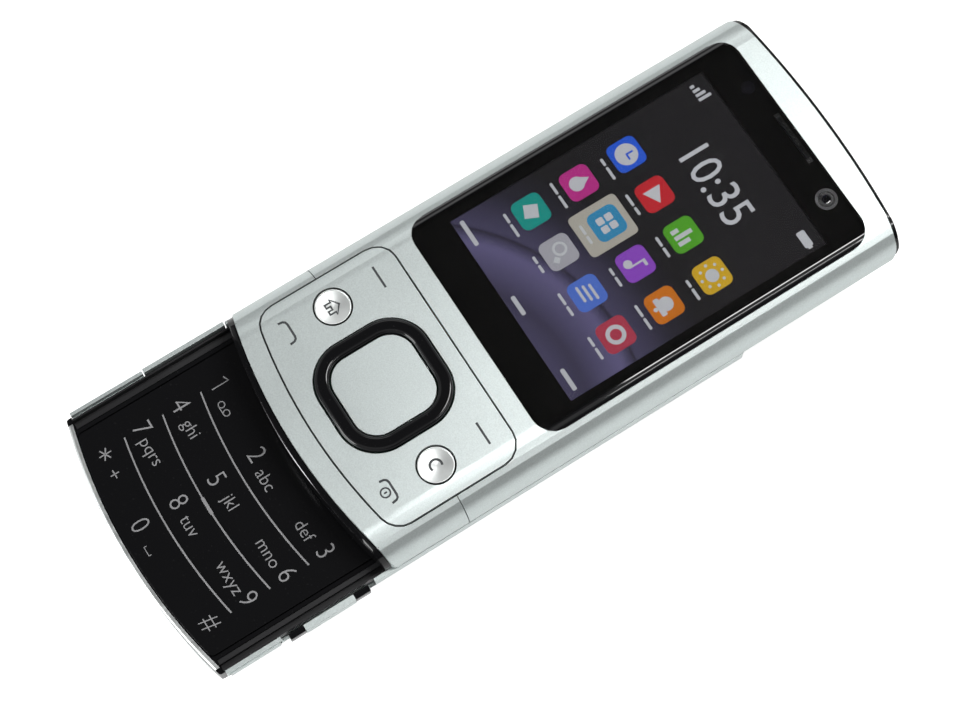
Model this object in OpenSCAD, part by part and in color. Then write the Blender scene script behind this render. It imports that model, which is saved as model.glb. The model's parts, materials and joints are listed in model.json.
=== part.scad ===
// Slider phone, drawn open.
// Origin: centre of the lower half's flat back. +X right, +Y to the earpiece, +Z out of the front.

/* [Phone] */
// Length of each half
phone_l = 95.8; // [92:0.1:100]
// Width across the widest part of the sides
phone_w = 46.1; // [45.6:0.1:48]
// Thickness when closed
phone_t = 15.9; // [15.5:0.1:16.5]
// Radius of the arched top end, seen from the front
top_arc_r = 160; // [90:1:200]
// Radius of the arched bottom end, seen from the front
bottom_arc_r = 88; // [80:1:200]
// Radius of the upright corner edges
corner_r = 1.1; // [0.8:0.1:2]
// How far the black ends stand back from the metal sides
end_inset = 0.5; // [0.2:0.05:0.6]
// Radius of the front's long shoulders
front_shoulder_r = 6.2; // [5:0.1:6.4]
// Radius of the back's long shoulders
back_shoulder_r = 8.5; // [7:0.1:8.9]
// Radius of the front's short edges
front_end_r = 0.5; // [0.3:0.1:0.8]
// Radius of the back's short edges
back_end_r = 3; // [2:0.1:3.5]

/* [Slide] */
// How far the upper half has been pushed up from closed
slide_travel = 28; // [24:0.5:29]
// Height of the lower edge of the upper half's sides
slider_z = 10.3; // [10.2:0.05:10.6]
// Height of the lower half's rim
rim_z = 9.9; // [9.7:0.05:9.95]
// Height of the keypad deck
deck_z = 9.25; // [9.1:0.05:9.3]
// Air between the deck and the moving slide plate
slide_air = 0.35; // [0.3:0.05:0.4]
// Thickness of the moving slide plate
slide_plate_t = 0.55; // [0.4:0.05:0.55]
// Sheet thickness of the fixed rails
rail_t = 0.3; // [0.25:0.05:0.35]
// Clearance of the slide hooks in the rails
rail_clear = 0.2; // [0.1:0.05:0.25]
// Length of the slide hooks
hook_l = 30; // [20:1:32]

/* [Upper half] */
// Wall of the metal covers
cover_wall = 0.7; // [0.5:0.05:0.8]
// Thickness of the black cap on the top end
cap_t = 0.55; // [0.4:0.05:0.8]
// Depth of the black lip on the bottom end
lip_t = 0.9; // [0.6:0.05:1.1]
// How far the lip's top lies below the front
lip_drop = 0.8; // [0.5:0.1:1.5]
// Rounding of the lip's lower edge
lip_edge_r = 0.7; // [0.3:0.05:0.8]
// Distance from the middle of the upper half down to the chin's seam
chin_seam_y = -30.85; // [-34:0.05:-28]
// Width of the seam round the chin
seam_gap = 0.1; // [0.06:0.01:0.15]
// Floor thickness of the inner frame
slider_floor = 1; // [0.8:0.1:1.2]

/* [Display] */
// Width of the window
window_w = 39.2; // [38:0.1:39.6]
// Length of the window
window_l = 58.5; // [57:0.1:59]
// Corner radius of the window
window_corner_r = 3.5; // [2:0.1:5]
// Middle of the window above the middle of the upper half
window_y = 13.65; // [13.3:0.05:13.9]
// Thickness of the window
window_t = 0.9; // [0.7:0.05:1]
// Rounding of the window's long edges
window_edge_r = 1.5; // [1:0.1:2]
// Width that the rounding of the long edges takes
window_edge_w = 1.25; // [0.8:0.05:1.4]
// Width of the display module
display_w = 36.4; // [35:0.1:36.8]
// Thickness of the display module
display_t = 2.4; // [2:0.1:2.8]
// Width of the picture area
picture_w = 33.3; // [32:0.1:34]
// Length of the picture area
picture_l = 45.6; // [44:0.1:46]
// Length of the earpiece slot
ear_l = 9.3; // [8:0.1:10]
// Width of the earpiece slot
ear_w = 0.8; // [0.6:0.05:1]
// Height of the earpiece slot above the middle of the window
ear_y = 28.3; // [28:0.05:28.4]
// Place of the front camera from the middle of the window
front_camera_at = [10.8, 26.8];
// Radius of the front camera's barrel
front_camera_r = 1.75; // [1.5:0.05:2]
// Place of the light sensor from the middle of the window
sensor_at = [-10.6, 27.2];

/* [Function keys] */
// Width of the function plate
plate_w = 39; // [38:0.1:39.4]
// Top edge of the function plate from the middle of the upper half
plate_top = -19.1; // [-19.4:0.05:-18.6]
// Bottom edge of the function plate from the middle of the upper half
plate_bottom = -43.55; // [-44:0.05:-43]
// Radius of the plate's bottom edge
plate_arc_r = 85; // [75:1:150]
// Corner radius of the plate
plate_corner_r = 3.4; // [2:0.1:5]
// Thickness of the function plate
plate_t = 0.5; // [0.4:0.05:0.6]
// Hairline gap round each key
key_gap = 0.2; // [0.15:0.01:0.22]
// Width of the navigation ring
nav_w = 18.5; // [17:0.1:19]
// Length of the navigation ring
nav_l = 18.8; // [17:0.1:19]
// Corner radius of the navigation ring
nav_corner_r = 6.5; // [5:0.1:8]
// Width of the ring's band
nav_band = 2.45; // [2:0.05:2.8]
// Height of the ring above the function plate
nav_proud = 0.7; // [0.5:0.05:0.8]
// Rounding of the ring's band
nav_edge_r = 0.6; // [0.3:0.05:0.9]
// Distance from the middle of the upper half down to the middle of the keys
keys_y = -31.05; // [-31.5:0.05:-30.6]
// Distance of the round keys from the middle
round_key_x = 14.33; // [13.8:0.05:14.8]
// Radius of the round keys
round_key_r = 2.75; // [2.4:0.05:3]
// Depth of the dish in the round keys
round_key_dish = 0.3; // [0.15:0.05:0.4]
// Stroke of the function keys
key_stroke = 0.25; // [0.15:0.05:0.25]

/* [Number keys] */
// Width of the number sheet
sheet_w = 39.2; // [38:0.1:39.4]
// Top edge of the number sheet from the middle of the lower half
sheet_top = -16.8; // [-18:0.1:-16]
// Corner radius of the sheet
sheet_corner_r = 0.9; // [0.5:0.1:1.5]
// Thickness of the number sheet
sheet_t = 0.9; // [0.7:0.05:0.9]
// Height of the ridges between the rows
ridge_h = 0.12; // [0.08:0.01:0.15]
// Width of the ridges between the rows
ridge_w = 0.25; // [0.15:0.05:0.4]
// Radius of the ridges
ridge_arc_r = 83; // [70:1:120]
// Half of the width that a ridge spans
ridge_half = 15.6; // [14:0.1:17]
// Half of the width of the homing bar under the key 5
homing_half = 1.45; // [1:0.05:2]
// Lowest point of the first ridge
ridge_y = -27.35; // [-28:0.05:-26.5]
// Distance from row to row
row_pitch = 6.55; // [6.3:0.05:6.6]
// Distance from column to column
column_pitch = 13.6; // [12:0.1:14.5]
// Width of the bottom trim
trim_t = 0.75; // [0.5:0.05:0.8]
// Depth of the bottom trim
trim_h = 0.9; // [0.6:0.05:1]

/* [Lower half] */
// Wall of the lower half
base_wall = 0.65; // [0.5:0.05:0.7]
// Width of the rim beside the deck
rim_w = 0.55; // [0.45:0.05:0.6]
// Height of the parting line between the sides and the back
parting_z = 4.15; // [4:0.05:4.3]
// Height of the gap at the parting line
parting_gap = 0.15; // [0.1:0.05:0.2]
// Where the metal sides end, from the middle of the lower half
side_end_y = -44.05; // [-44.3:0.05:-43.8]
// Wall of the battery cover
back_wall = 0.7; // [0.5:0.05:0.8]
// Upper edge of the battery cover
cover_top_y = 24; // [23.5:0.1:25]
// Height of the underside of the main board
board_z = 6.1; // [6:0.05:6.15]
// Thickness of the main board
board_t = 0.7; // [0.6:0.05:0.7]
// Underside of the chassis floor
chassis_z = 5.35; // [5.3:0.05:5.4]
// Thickness of the chassis floor
chassis_t = 0.6; // [0.5:0.05:0.6]
// Width of the battery
battery_w = 34; // [30:0.5:34]
// Length of the battery
battery_l = 49.5; // [45:0.5:49.5]
// Thickness of the battery
battery_t = 4; // [3.5:0.1:4]
// Lower end of the battery
battery_y = -43.5; // [-43.8:0.1:-43]

/* [Side keys and ports] */
// Middle of the volume rocker
rocker_y = -26.95; // [-28:0.05:-26]
// Length of the volume rocker
rocker_l = 13.5; // [12:0.1:14]
// Length of each black end of the rocker
rocker_end_l = 2.5; // [2:0.1:3]
// How far the rocker stands out
rocker_proud = 0.7; // [0.4:0.05:0.8]
// Lower and upper edge of the rocker
rocker_band = [6.3, 9.3];
// Length of the recess round the rocker
recess_l = 15.8; // [15.2:0.1:16]
// Middle of the camera key
camera_key_y = -39.4; // [-39.6:0.05:-39.2]
// Length of the camera key
camera_key_l = 8.4; // [7:0.1:8.6]
// How far the camera key stands out
camera_key_proud = 0.2; // [0.1:0.05:0.3]
// Lower and upper edge of the camera key
camera_key_band = [6.3, 9.1];
// Middle of the port cover
port_y = -24.55; // [-25:0.05:-24]
// Length of the port cover
port_cover_l = 14; // [13:0.1:15]
// How far the port cover stands out
port_cover_proud = 0.2; // [0.1:0.05:0.3]
// Lower edge of the port cover
port_cover_z = 4.9; // [4.8:0.05:5]
// Width, depth and height of the data connector
usb_size = [7.4, 4.2, 2.4];
// Inner radius of the charger jack
jack_r = 1.05; // [1:0.05:1.2]
// Place of the charger jack across the top end
jack_x = -12; // [-14:0.1:-10]
// Length of the charger jack
jack_l = 6; // [5:0.1:7]

/* [Back] */
// Middle of the camera along the back
camera_y = 34; // [32:0.1:36]
// Radius of the camera's lens ring
lens_ring_r = 4.6; // [4:0.1:5]
// Width of the camera module
camera_w = 9.5; // [9:0.1:10]
// Distance of the flash from the camera
flash_x = 8.6; // [8:0.1:10]
// Distance of the loudspeaker's middle from the camera
speaker_x = -11.4; // [-12:0.1:-11]

/* [Hidden] */
$fn = 48;
flat_r = 20000;          // radius that stands for a straight edge
seat = 0.05;             // gap between pieces that are glued or screwed together
eps = 0.01;              // overshoot of a cut
big = 200;
end_steps = 16;          // segments of an arched end
sweep_fn = 720;          // segments in a full turn of the bars along the ends
corner_steps = 4;        // segments of an upright corner
shoulder_steps = 10;     // segments of a long shoulder
edge_steps = 4;          // segments of a short edge
window_steps = 10;       // segments of the window's long edges
half_w = phone_w / 2;
half_l = phone_l / 2;

// Distance that an arc of radius r falls back at x from its middle
function sag(r, x) = r - sqrt(r * r - x * x);

// Heights in the upper half, from the slide plate up
slide_plate_z = deck_z + slide_air;
slider_frame_z = slide_plate_z + slide_plate_t + seat;
slider_pocket_z = slider_frame_z + slider_floor;
frame_inset = cover_wall + 2 * seat;
plug_t = 0.45;                                     // how far the end pieces reach into the covers
window_z = phone_t - window_t;
gasket_t = 0.3;
gasket_z = window_z - gasket_t;
display_z = gasket_z - display_t;
glass_z = display_z + display_t - 0.15;            // the picture lies just below the tray's rim
camera_box = 4.6;                                  // the front camera's square housing
display_low = window_y - picture_l / 2 - 2.4;      // lower end of the display module
display_top = window_y + front_camera_at[1] - camera_box / 2 - 0.7;
plate_z = phone_t - plate_t;
key_flange_t = 0.35;
key_flange_z = plate_z - key_stroke - key_flange_t;
function_board_t = 0.6;
board_margin = 1.1;                                // between the plate's edge and its board's
dome_h = 0.2;
dome_r = 1.5;
function_board_z = key_flange_z - 2 * key_stroke - dome_h - function_board_t;
key_foot_z = function_board_z + function_board_t + dome_h + key_stroke;  // air under a key's foot
nav_pad_t = 0.35;
nav_pad_z = key_foot_z;
nav_ring_z = nav_pad_z + nav_pad_t + key_stroke;
centre_key_z = nav_ring_z - 0.2;
key_top_z = phone_t + 0.1;                         // tops of the centre and round keys
dish_floor_z = key_top_z - 0.05 - round_key_dish;  // deepest point of the round keys' dishes
round_key_flange = 0.4;

// Places in the upper half, from its middle
ear_box = [ear_l + 1, 4.6];                        // the earpiece behind its slot
mesh_pitch = 0.7;
mesh_hole_r = 0.15;
front_lens_r = 1;
sensor_r = 1.1;
sensor_z = gasket_z - 0.4;
pocket_top = window_y + ear_y + ear_box[1] / 2 + 3 * seat;
pocket_low = display_low - 0.2;
screw_places = [for (x = [-15, 15], y = [-40, 14]) [x, y]];
corner_keys = [for (x = [-round_key_x, round_key_x], y = [plate_top - 4, plate_bottom + 4.6]) [x, y]];
nav_domes = [for (a = [0 : 90 : 270]) [0, keys_y] + (nav_w / 2 - nav_band / 2) * [cos(a), sin(a)]];
round_keys = [for (x = [-round_key_x, round_key_x]) [x, keys_y]];
nav_inner_r = nav_corner_r - nav_band;
nav_edge_z = phone_t + nav_proud - nav_edge_r;

// Heights in the lower half, from the number sheet down
sheet_z = deck_z - sheet_t;
sheet_inset = trim_t + key_gap;                    // from the lower end to the sheet's edge
trim_half = half_w - end_inset - 1;                // half of the bottom trim's width
trim_proud = 0.05;
trim_edge_r = 0.35;
keymat_t = 0.45;
keymat_z = sheet_z - keymat_t;
number_stroke = 0.2;
number_dome_h = 0.25;
number_dome_r = 1.6;
plunger_r = 0.9;
board_top = board_z + board_t;
plunger_z = board_top + number_dome_h + number_stroke + seat;
ledge_z = keymat_z - number_stroke - 2 * seat;
frame_flange_z = ledge_z - 2 * seat;
frame_floor_z = board_top + seat;                  // underside of the keypad frame
frame_end_wall = base_wall + 0.6;                  // its wall at the lower end
board_inset = frame_end_wall + 2 * seat;
cover_cut_z = deck_z - 0.6;                        // the rim's wall gets thinner from here up

// Slide rails and hooks
rail_out = half_w - base_wall - 3 * seat;          // outer face of a rail
rail_w = 1.75;
rail_in = rail_out - rail_w;                       // inner face of a rail
rail_z = ledge_z;                                  // underside of the rails
rail_lip_w = 0.7;
rail_end_y = side_end_y - 0.25;                    // lower end of the rails
rail_top_y = 20;                                   // upper end of the rails
rail_web_y = -13.5;                                // lower edge of the plate between the rails
rail_plate_z = rail_z + 0.35;
rail_plate_t = 0.45;
rail_plate_top = half_l - 4;
hook_web_t = 0.35;
hook_out = rail_out - rail_t - rail_clear;
hook_in = rail_in + rail_t + 0.15;
hook_z = rail_z + rail_t + 0.3;
hook_h = 0.5;
hook_y = rail_end_y + 1.3;                         // lower end of the hooks, phone closed
slide_plate_low = hook_y - 0.6;
slide_plate_top = half_l - base_wall - sag(top_arc_r - base_wall, hook_out) - slide_travel - 0.3;
spring_at = [8, 2];
spring_r = 3;
spring_wire_r = 0.3;
spring_leg = 9;
spring_foot_r = 0.45;
spring_z = rail_plate_z + rail_plate_t + 0.12 + spring_wire_r;
cable_w = 8;
cable_t = 0.15;
cable_x = -6;
cable_slot_y = -19;                                // cable slot, from the middle of the upper half
cable_low_y = -8;                                  // cable slot in the rail plate
cable_end_y = 18;                                  // where the cable turns over
slot_half_w = cable_w / 2 + 0.5;

// Number keys, row by row from the top
key_columns = [-1, 0, 1];
key_rows = [0, 1, 2, 3];
key_rise = 3.2;                                    // a key's middle above its ridge, middle column
key_side_rise = 1.2;                               // and how much higher the side columns are
function row_y(i) = ridge_y - i * row_pitch;       // lowest point of the ridge under a row
key_places = [for (i = key_rows, c = key_columns)
    [c * column_pitch, row_y(i) + key_rise + key_side_rise * abs(c)]];

// Inside of the lower half
battery_top = battery_y + battery_l;
battery_z = chassis_z - 0.15 - battery_t;
bay_wall = 0.8;
bay_gap = 0.15;
contact_pitch = 3;
contact_w = 1.2;
block_z = 2.95;                                    // underside of the card holders' block
holder_z = block_z - 1.3;
holder_low = battery_top + 1.1;                    // lower ends of the card holders
holder_split = 8.2;                                // between the two card holders
holder_wall = 0.4;
block_x = [-18.6, 20.6];
can_x = [-14, 16];                                 // shield can over the board's parts
can_y = [6, 32];
can_wall = 0.2;
motor_at = [8, half_l - 5.9];                      // left end of the vibration motor
motor_r = 1.9;
motor_l = 8;
antenna_box = [26, 5.4];
antenna_x = half_w - 3;                            // right end of the antenna
flash_box = [2.8, 3.8];
speaker_box = [9.5, 12];
mesh_box = [7.4, 8.4];                             // mesh behind the loudspeaker's slots
slot_pitch = 1.6;
mesh_z = 1.25;
mesh_t = 0.15;
camera_z = 2.2;                                    // underside of the rear camera's housing
ring_z = 0.15;                                     // the lens ring lies just below the back
lens_glass_r = 3;
screw_r = 0.5;
screw_head_r = 1.1;
frame_screw_inset = 3.85;
frame_screw_y = [-40, -8, 42];
frame_screw_places = [for (side = [-1, 1], y = frame_screw_y) [side * (half_w - frame_screw_inset), y]];
usb_x = 1.45 - half_w;                             // mouth of the data connector
usb_z = port_cover_z + 0.1;
usb_wall = 0.25;
jack_z = 6.3;
jack_hole_r = jack_r + 0.5;
jack_end_y = half_l - sag(top_arc_r, jack_x) - 0.25;
part_gap = 0.2;                                    // room round a piece that sits in a cut-out
small_corner_r = 0.3;
gasket_gap = 0.5;                                  // from the picture's edge to the gasket
ear_clear = 0.3;
frame_slot_half = 1;                               // half of the cable slot's width in the frame
plate_slot_half = 1.4;                             // and in the plates
screw_end_gap = 0.1;
mesh_sunk = 0.3;                                   // the earpiece's mesh lies this far below the front
mesh_holes = [-4 : 4];
front_lens_above = 0.4;
sensor_box = [3, 2.4];
key_foot_r = 1.6;
nav_pad_inset = 0.3;                               // the pad's edge, inside the ring's outer edge
nav_pad_lap = 0.2;                                 // and outside its inner edge
frame_lap = 0.2;
ridge_root = 0.1;                                  // how deep the ridges reach into the sheet
ridge_fn = 200;
keymat_inset = 0.3;
bay_wall_z = 1.8;                                  // lower edge of the bay's walls
contact_cut = 4;
usb_clear = 0.3;
panel_gap = 0.12;                                  // joint between the sliding cover and the panel
slot_w = 0.7;
slot_bar = 0.7;                                    // the mesh reaches this far past the slots
slot_corner_r = 0.3;
flash_corner_r = 0.5;
flash_z = 0.1;
flash_t = 2.3;
barrel_r = 3.2;                                    // rear camera's barrel, its bore and the bore's floor
barrel_z = 1;
barrel_bore_r = 2;
barrel_floor_z = 1.4;
ring_stand = 0.25;
lens_glass_t = 0.3;
lens_hole_r = 1.6;
holder_half = 18;                                  // closed end of the card holders' larger one
slot_right = 17.9;                                 // right end of the smaller one
holder_end = 0.3;
card_z = block_z - 1;                              // room for a card
card_t = 0.85;
jack_floor = 0.6;
mic_w = 4;
mic_l = 1.5;
mic_h = 0.85;
mic_y = 1.5 - half_l;
rocker_end_drop = 0.1;
key_depth = 0.35;                                  // how far the side keys reach into the sides
side_cut_t = 1.6;
silver = [0.82, 0.84, 0.83];
black = [0.07, 0.07, 0.08];
steel = [0.55, 0.56, 0.58];
gold = [0.80, 0.66, 0.35];
green = [0.10, 0.30, 0.20];

// ---------- outlines and solids that the pieces share ----------

// Points of an arc from angle a0 to a1, with or without its two ends
function on_arc(c, r, a) = c + r * [cos(a), sin(a)];
function arc(c, r, a0, a1, n) = [for (i = [0 : n]) on_arc(c, r, a0 + (a1 - a0) * i / n)];
function arc_inside(c, r, a0, a1, n) = [for (i = [1 : n - 1]) on_arc(c, r, a0 + (a1 - a0) * i / n)];

// Outline with straight sides, arched ends and rounded corners
function outline(hw, top, bottom, top_r, bottom_r, corner) =
    let (
        ct = top - top_r,
        cb = bottom + bottom_r,
        ft = ct + sqrt(pow(top_r - corner, 2) - pow(hw - corner, 2)),
        fb = cb - sqrt(pow(bottom_r - corner, 2) - pow(hw - corner, 2)),
        at = atan2(ft - ct, hw - corner),
        ab = atan2(cb - fb, hw - corner)
    )
    concat(
        arc([hw - corner, ft], corner, 0, at, corner_steps),
        arc_inside([0, ct], top_r, at, 180 - at, end_steps),
        arc([corner - hw, ft], corner, 180 - at, 180, corner_steps),
        arc([corner - hw, fb], corner, 180, 180 + ab, corner_steps),
        arc_inside([0, cb], bottom_r, 180 + ab, 360 - ab, end_steps),
        arc([hw - corner, fb], corner, 360 - ab, 360, corner_steps)
    );

// Rounded rectangle
function pad(w, l, r) = outline(w / 2, l / 2, -l / 2, flat_r, flat_r, r);

// The phone's outline from the front, moved in by side, top and bottom
function plan(side, top, bottom) = outline(half_w - side, half_l - top, bottom - half_l,
    top_arc_r - top, bottom_arc_r - bottom, max(corner_r - side, 0.3));

// The phone's section across the sides, moved in by d, and by front_d at the front
function section(d, front_d) =
    let (rf = front_shoulder_r - d, rb = back_shoulder_r - d, hw = half_w - d, zt = phone_t - front_d)
    concat(
        arc([hw - rb, d + rb], rb, -90, 0, shoulder_steps),
        arc([hw - rf, zt - rf], rf, 0, 90, shoulder_steps),
        arc([rf - hw, zt - rf], rf, 90, 180, shoulder_steps),
        arc([rb - hw, d + rb], rb, 180, 270, shoulder_steps)
    );

// The phone's section along its length, moved in by d at the back
function long_section(d) =
    let (
        rf = front_end_r,
        rb = max(back_end_r - d, 0.3),
        hl = half_l + max(-d, 0),
        zt = phone_t + max(-d, 0)
    )
    concat(
        arc([hl - d - rb, d + rb], rb, -90, 0, edge_steps),
        arc([hl - rf, zt - rf], rf, 0, 90, edge_steps),
        arc([rf - hl, zt - rf], rf, 90, 180, edge_steps),
        arc([d + rb - hl, d + rb], rb, 180, 270, edge_steps)
    );

module prism(points, z_lo, z_hi) translate([0, 0, z_lo]) linear_extrude(z_hi - z_lo) polygon(points);

module across(points) rotate([90, 0, 0]) translate([0, 0, -big / 2]) linear_extrude(big) polygon(points);

// Everything between two heights inside the phone's long sides
module tunnel(d, z_lo, z_hi) intersection() {
    across(section(d, d));
    slab(z_lo, z_hi);
}

module slab(z_lo, z_hi) translate([-big / 2, -big / 2, z_lo]) cube([big, big, z_hi - z_lo]);

// Everything between two places along the phone
module stretch(y_lo, y_hi) translate([-big / 2, y_lo, -big / 2]) cube([big, y_hi - y_lo, big]);

// Bar along the arc of an end (1 top, -1 bottom), t deep, with its front edge rounded by e
module end_bar(end, t, z_lo, z_hi, e) intersection() {
    r = end > 0 ? top_arc_r : bottom_arc_r;
    a = asin(half_w / r);
    translate([0, end * (half_l - r), 0]) rotate(end * 90 - a)
        rotate_extrude(angle = 2 * a, $fn = sweep_fn) polygon(concat(
            [[r - t, z_hi], [r - t, z_lo], [r, z_lo]],
            arc([r - e, z_hi - e], e, 0, 90, edge_steps)));
    prism(plan(end_inset, -seat, -seat), z_lo, z_hi);
    across(section(end_inset, 0));
}

// The phone's rounded body between two heights, moved in by d at the sides
module body(d, z_lo, z_hi, top, bottom) intersection() {
    prism(plan(d, top, bottom), z_lo, z_hi);
    across(section(d, d));
    rotate([90, 0, 90]) translate([0, 0, -big / 2]) linear_extrude(big) polygon(long_section(d));
}

// The same without rounded end edges, for inner pieces
module inner_body(d, z_lo, z_hi, top, bottom) intersection() {
    prism(plan(d, top, bottom), z_lo, z_hi);
    across(section(d, d));
}

// The same moved in by d all round
module core(d, z_lo, z_hi) inner_body(d, z_lo, z_hi, d, d);

module box(x0, x1, y0, y1, z0, z1) translate([x0, y0, z0]) cube([x1 - x0, y1 - y0, z1 - z0]);
module both_sides() for (side = [-1, 1]) mirror([side < 0 ? 1 : 0, 0, 0]) children();
module on_slider() translate([0, slide_travel, 0]) children();
module on_window() translate([0, slide_travel + window_y, 0]) children();
module cable_slot(y, half) box(cable_x - slot_half_w, cable_x + slot_half_w, y - half, y + half, 0, big);
module disc(x, y, r, z_lo, z_hi) translate([x, y, z_lo]) cylinder(r = r, h = z_hi - z_lo);

function window_outline(grow) = outline(window_w / 2 + grow, window_l / 2 + grow, -window_l / 2 - grow,
    flat_r, flat_r, window_corner_r + grow);
function plate_outline(grow) = outline(plate_w / 2 + grow, plate_top + grow, plate_bottom - grow,
    flat_r, plate_arc_r + grow, plate_corner_r + grow);
function sheet_outline(grow) = outline(sheet_w / 2 + grow, sheet_top + grow, sheet_inset - half_l - grow,
    flat_r, bottom_arc_r - sheet_inset + grow, sheet_corner_r + max(grow, -keymat_inset));
function nav_outline(grow) = outline(nav_w / 2 + grow, keys_y + nav_l / 2 + grow, keys_y - nav_l / 2 - grow,
    flat_r, flat_r, nav_corner_r + grow);

// ---------- upper half ----------

module cover_openings() {
    translate([0, window_y, 0]) prism(window_outline(seat), slider_z, phone_t + 1);
    prism(plate_outline(key_gap), slider_z, phone_t + 1);
}

module front_cover() color(silver) on_slider() difference() {
    body(0, slider_z, phone_t, cap_t + seat, 0);
    tunnel(cover_wall, 0, phone_t - cover_wall);
    stretch(-big / 2, chin_seam_y + seam_gap / 2);
    cover_openings();
}

module chin_cover() color(silver) on_slider() difference() {
    body(0, slider_z, phone_t, 0, lip_t + seat);
    tunnel(cover_wall, 0, phone_t - cover_wall);
    stretch(chin_seam_y - seam_gap / 2, big / 2);
    cover_openings();
}

// An outer plate, and a plug that reaches into the front cover
module top_end_cap() color(black) on_slider() {
    end_bar(1, cap_t, slider_z, phone_t, front_end_r);
    difference() {
        inner_body(frame_inset, slider_z, phone_t, cap_t - seat, 0);
        prism(plan(-1, cap_t + plug_t, -1), 0, big);
    }
}

// A bar along the chin's lower edge, with a plug that reaches into the chin and down to the slide plate
module slider_lip() color(black) on_slider() {
    end_bar(-1, lip_t, slider_z, phone_t - lip_drop, lip_edge_r);
    difference() {
        inner_body(frame_inset, slide_plate_z + seat, phone_t - lip_drop - seat, 0, seat);
        prism(plan(-1, -1, lip_t + plug_t), 0, big);
    }
}

module display_window() color(black) on_window() difference() {
    edge_x = window_w / 2 - window_edge_w;
    edge_z = phone_t - window_edge_r;
    edge_a = acos(window_edge_w / window_edge_r);
    intersection() {
        prism(window_outline(0), window_z, phone_t);
        across(concat(
            [[-window_w / 2, window_z - 1], [window_w / 2, window_z - 1]],
            arc([edge_x, edge_z], window_edge_r, edge_a, 90, window_steps),
            arc([-edge_x, edge_z], window_edge_r, 90, 180 - edge_a, window_steps)));
    }
    translate([0, ear_y, window_z - eps]) linear_extrude(window_t + 2 * eps) polygon([
        [-ear_l / 2, -ear_w / 2], [ear_l / 2, -ear_w / 2],
        [ear_l / 2 - ear_w, ear_w / 2], [ear_w - ear_l / 2, ear_w / 2]]);
}

module display_gasket() color([0.15, 0.15, 0.16]) on_window() difference() {
    prism(pad(display_w, window_l - 4 * seat, 1), gasket_z, window_z);
    prism(pad(picture_w + 2 * gasket_gap, picture_l + 2 * gasket_gap, gasket_gap), 0, phone_t);
    translate([0, ear_y, 0]) prism(pad(ear_l + 2 * gasket_gap, ear_w + ear_clear, gasket_gap), 0, phone_t);
    disc(front_camera_at[0], front_camera_at[1], front_camera_r + part_gap, 0, phone_t);
    disc(sensor_at[0], sensor_at[1], sensor_r + part_gap, 0, phone_t);
}

// A metal tray that holds the display's glass, with the picture area inside its rim
module display_module() color([0.2, 0.2, 0.22]) on_slider() difference() {
    box(-display_w / 2, display_w / 2, display_low, display_top, display_z, display_z + display_t);
    translate([0, window_y, 0]) prism(pad(picture_w, picture_l, small_corner_r), glass_z, phone_t);
}

module slider_frame() color(black) on_slider() difference() {
    intersection() {
        body(frame_inset, slider_frame_z, plate_z - key_stroke - seat,
            cap_t + plug_t + seat, lip_t + plug_t + seat);
        slab(slider_frame_z, gasket_z - seat);
    }
    prism(outline(display_w / 2 + part_gap, pocket_top, pocket_low, flat_r, flat_r, 2 * part_gap),
        slider_pocket_z, big);
    prism(plate_outline(part_gap - board_margin), function_board_z - seat, phone_t);
    cable_slot(cable_slot_y, frame_slot_half);
    for (p = screw_places) disc(p[0], p[1], screw_r + seat, 0, slider_pocket_z + 1);
}

// The moving plate of the slide, with a hook along each side that runs under the rail's lip
module slide_plate() color(steel) on_slider() difference() {
    union() {
        box(-hook_out, hook_out, slide_plate_low, slide_plate_top,
            slide_plate_z, slide_plate_z + slide_plate_t);
        both_sides() {
            box(hook_out - hook_web_t, hook_out, hook_y, hook_y + hook_l, hook_z, slide_plate_z + eps);
            box(hook_in, hook_out, hook_y, hook_y + hook_l, hook_z, hook_z + hook_h);
        }
    }
    for (p = screw_places) disc(p[0], p[1], screw_head_r + seat, 0, phone_t);
    cable_slot(cable_slot_y, plate_slot_half);
}

module slide_plate_screws() color(steel) on_slider() for (p = screw_places) {
    disc(p[0], p[1], screw_head_r, slide_plate_z + seat, slide_plate_z + slide_plate_t);
    disc(p[0], p[1], screw_r, slide_plate_z + slide_plate_t - eps, slider_pocket_z - screw_end_gap);
}

module earpiece_mesh() color([0.25, 0.25, 0.27]) on_window() translate([0, ear_y, 0])
    difference() {
        prism(pad(ear_l - 2 * ear_w, ear_w - 2 * seat, 2 * seat), window_z, phone_t - mesh_sunk);
        for (i = mesh_holes) disc(i * mesh_pitch, 0, mesh_hole_r, 0, phone_t);
    }

module earpiece() color([0.3, 0.3, 0.32]) on_window() translate([0, ear_y, 0])
    prism(pad(ear_box[0], ear_box[1], 1), slider_pocket_z + seat, gasket_z - seat);

module front_camera() color([0.05, 0.05, 0.06]) on_window()
    translate([front_camera_at[0], front_camera_at[1], 0]) {
        prism(pad(camera_box, camera_box, small_corner_r), slider_pocket_z + seat, display_z);
        difference() {
            disc(0, 0, front_camera_r, display_z - eps, window_z - seat);
            translate([0, 0, window_z + front_lens_above]) sphere(r = front_lens_r);
        }
    }

module light_sensor() color([0.1, 0.08, 0.12]) on_window() translate([sensor_at[0], sensor_at[1], 0]) {
    prism(pad(sensor_box[0], sensor_box[1], 4 * seat), slider_pocket_z + seat, sensor_z);
    disc(0, 0, sensor_r, sensor_z - eps, window_z - seat);
}

module function_board() color(green) on_slider()
    prism(plate_outline(-board_margin), function_board_z, function_board_z + function_board_t);

// Snap dome: a low cap that is h high over a circle of radius r
module dome(x, y, z, r, h) {
    cap_r = (r * r + h * h) / (2 * h);
    cap_a = acos(r / cap_r);
    translate([x, y, z]) rotate_extrude()
        polygon(concat([[0, 0]], arc([0, h - cap_r], cap_r, cap_a, 90, edge_steps)));
}

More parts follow.
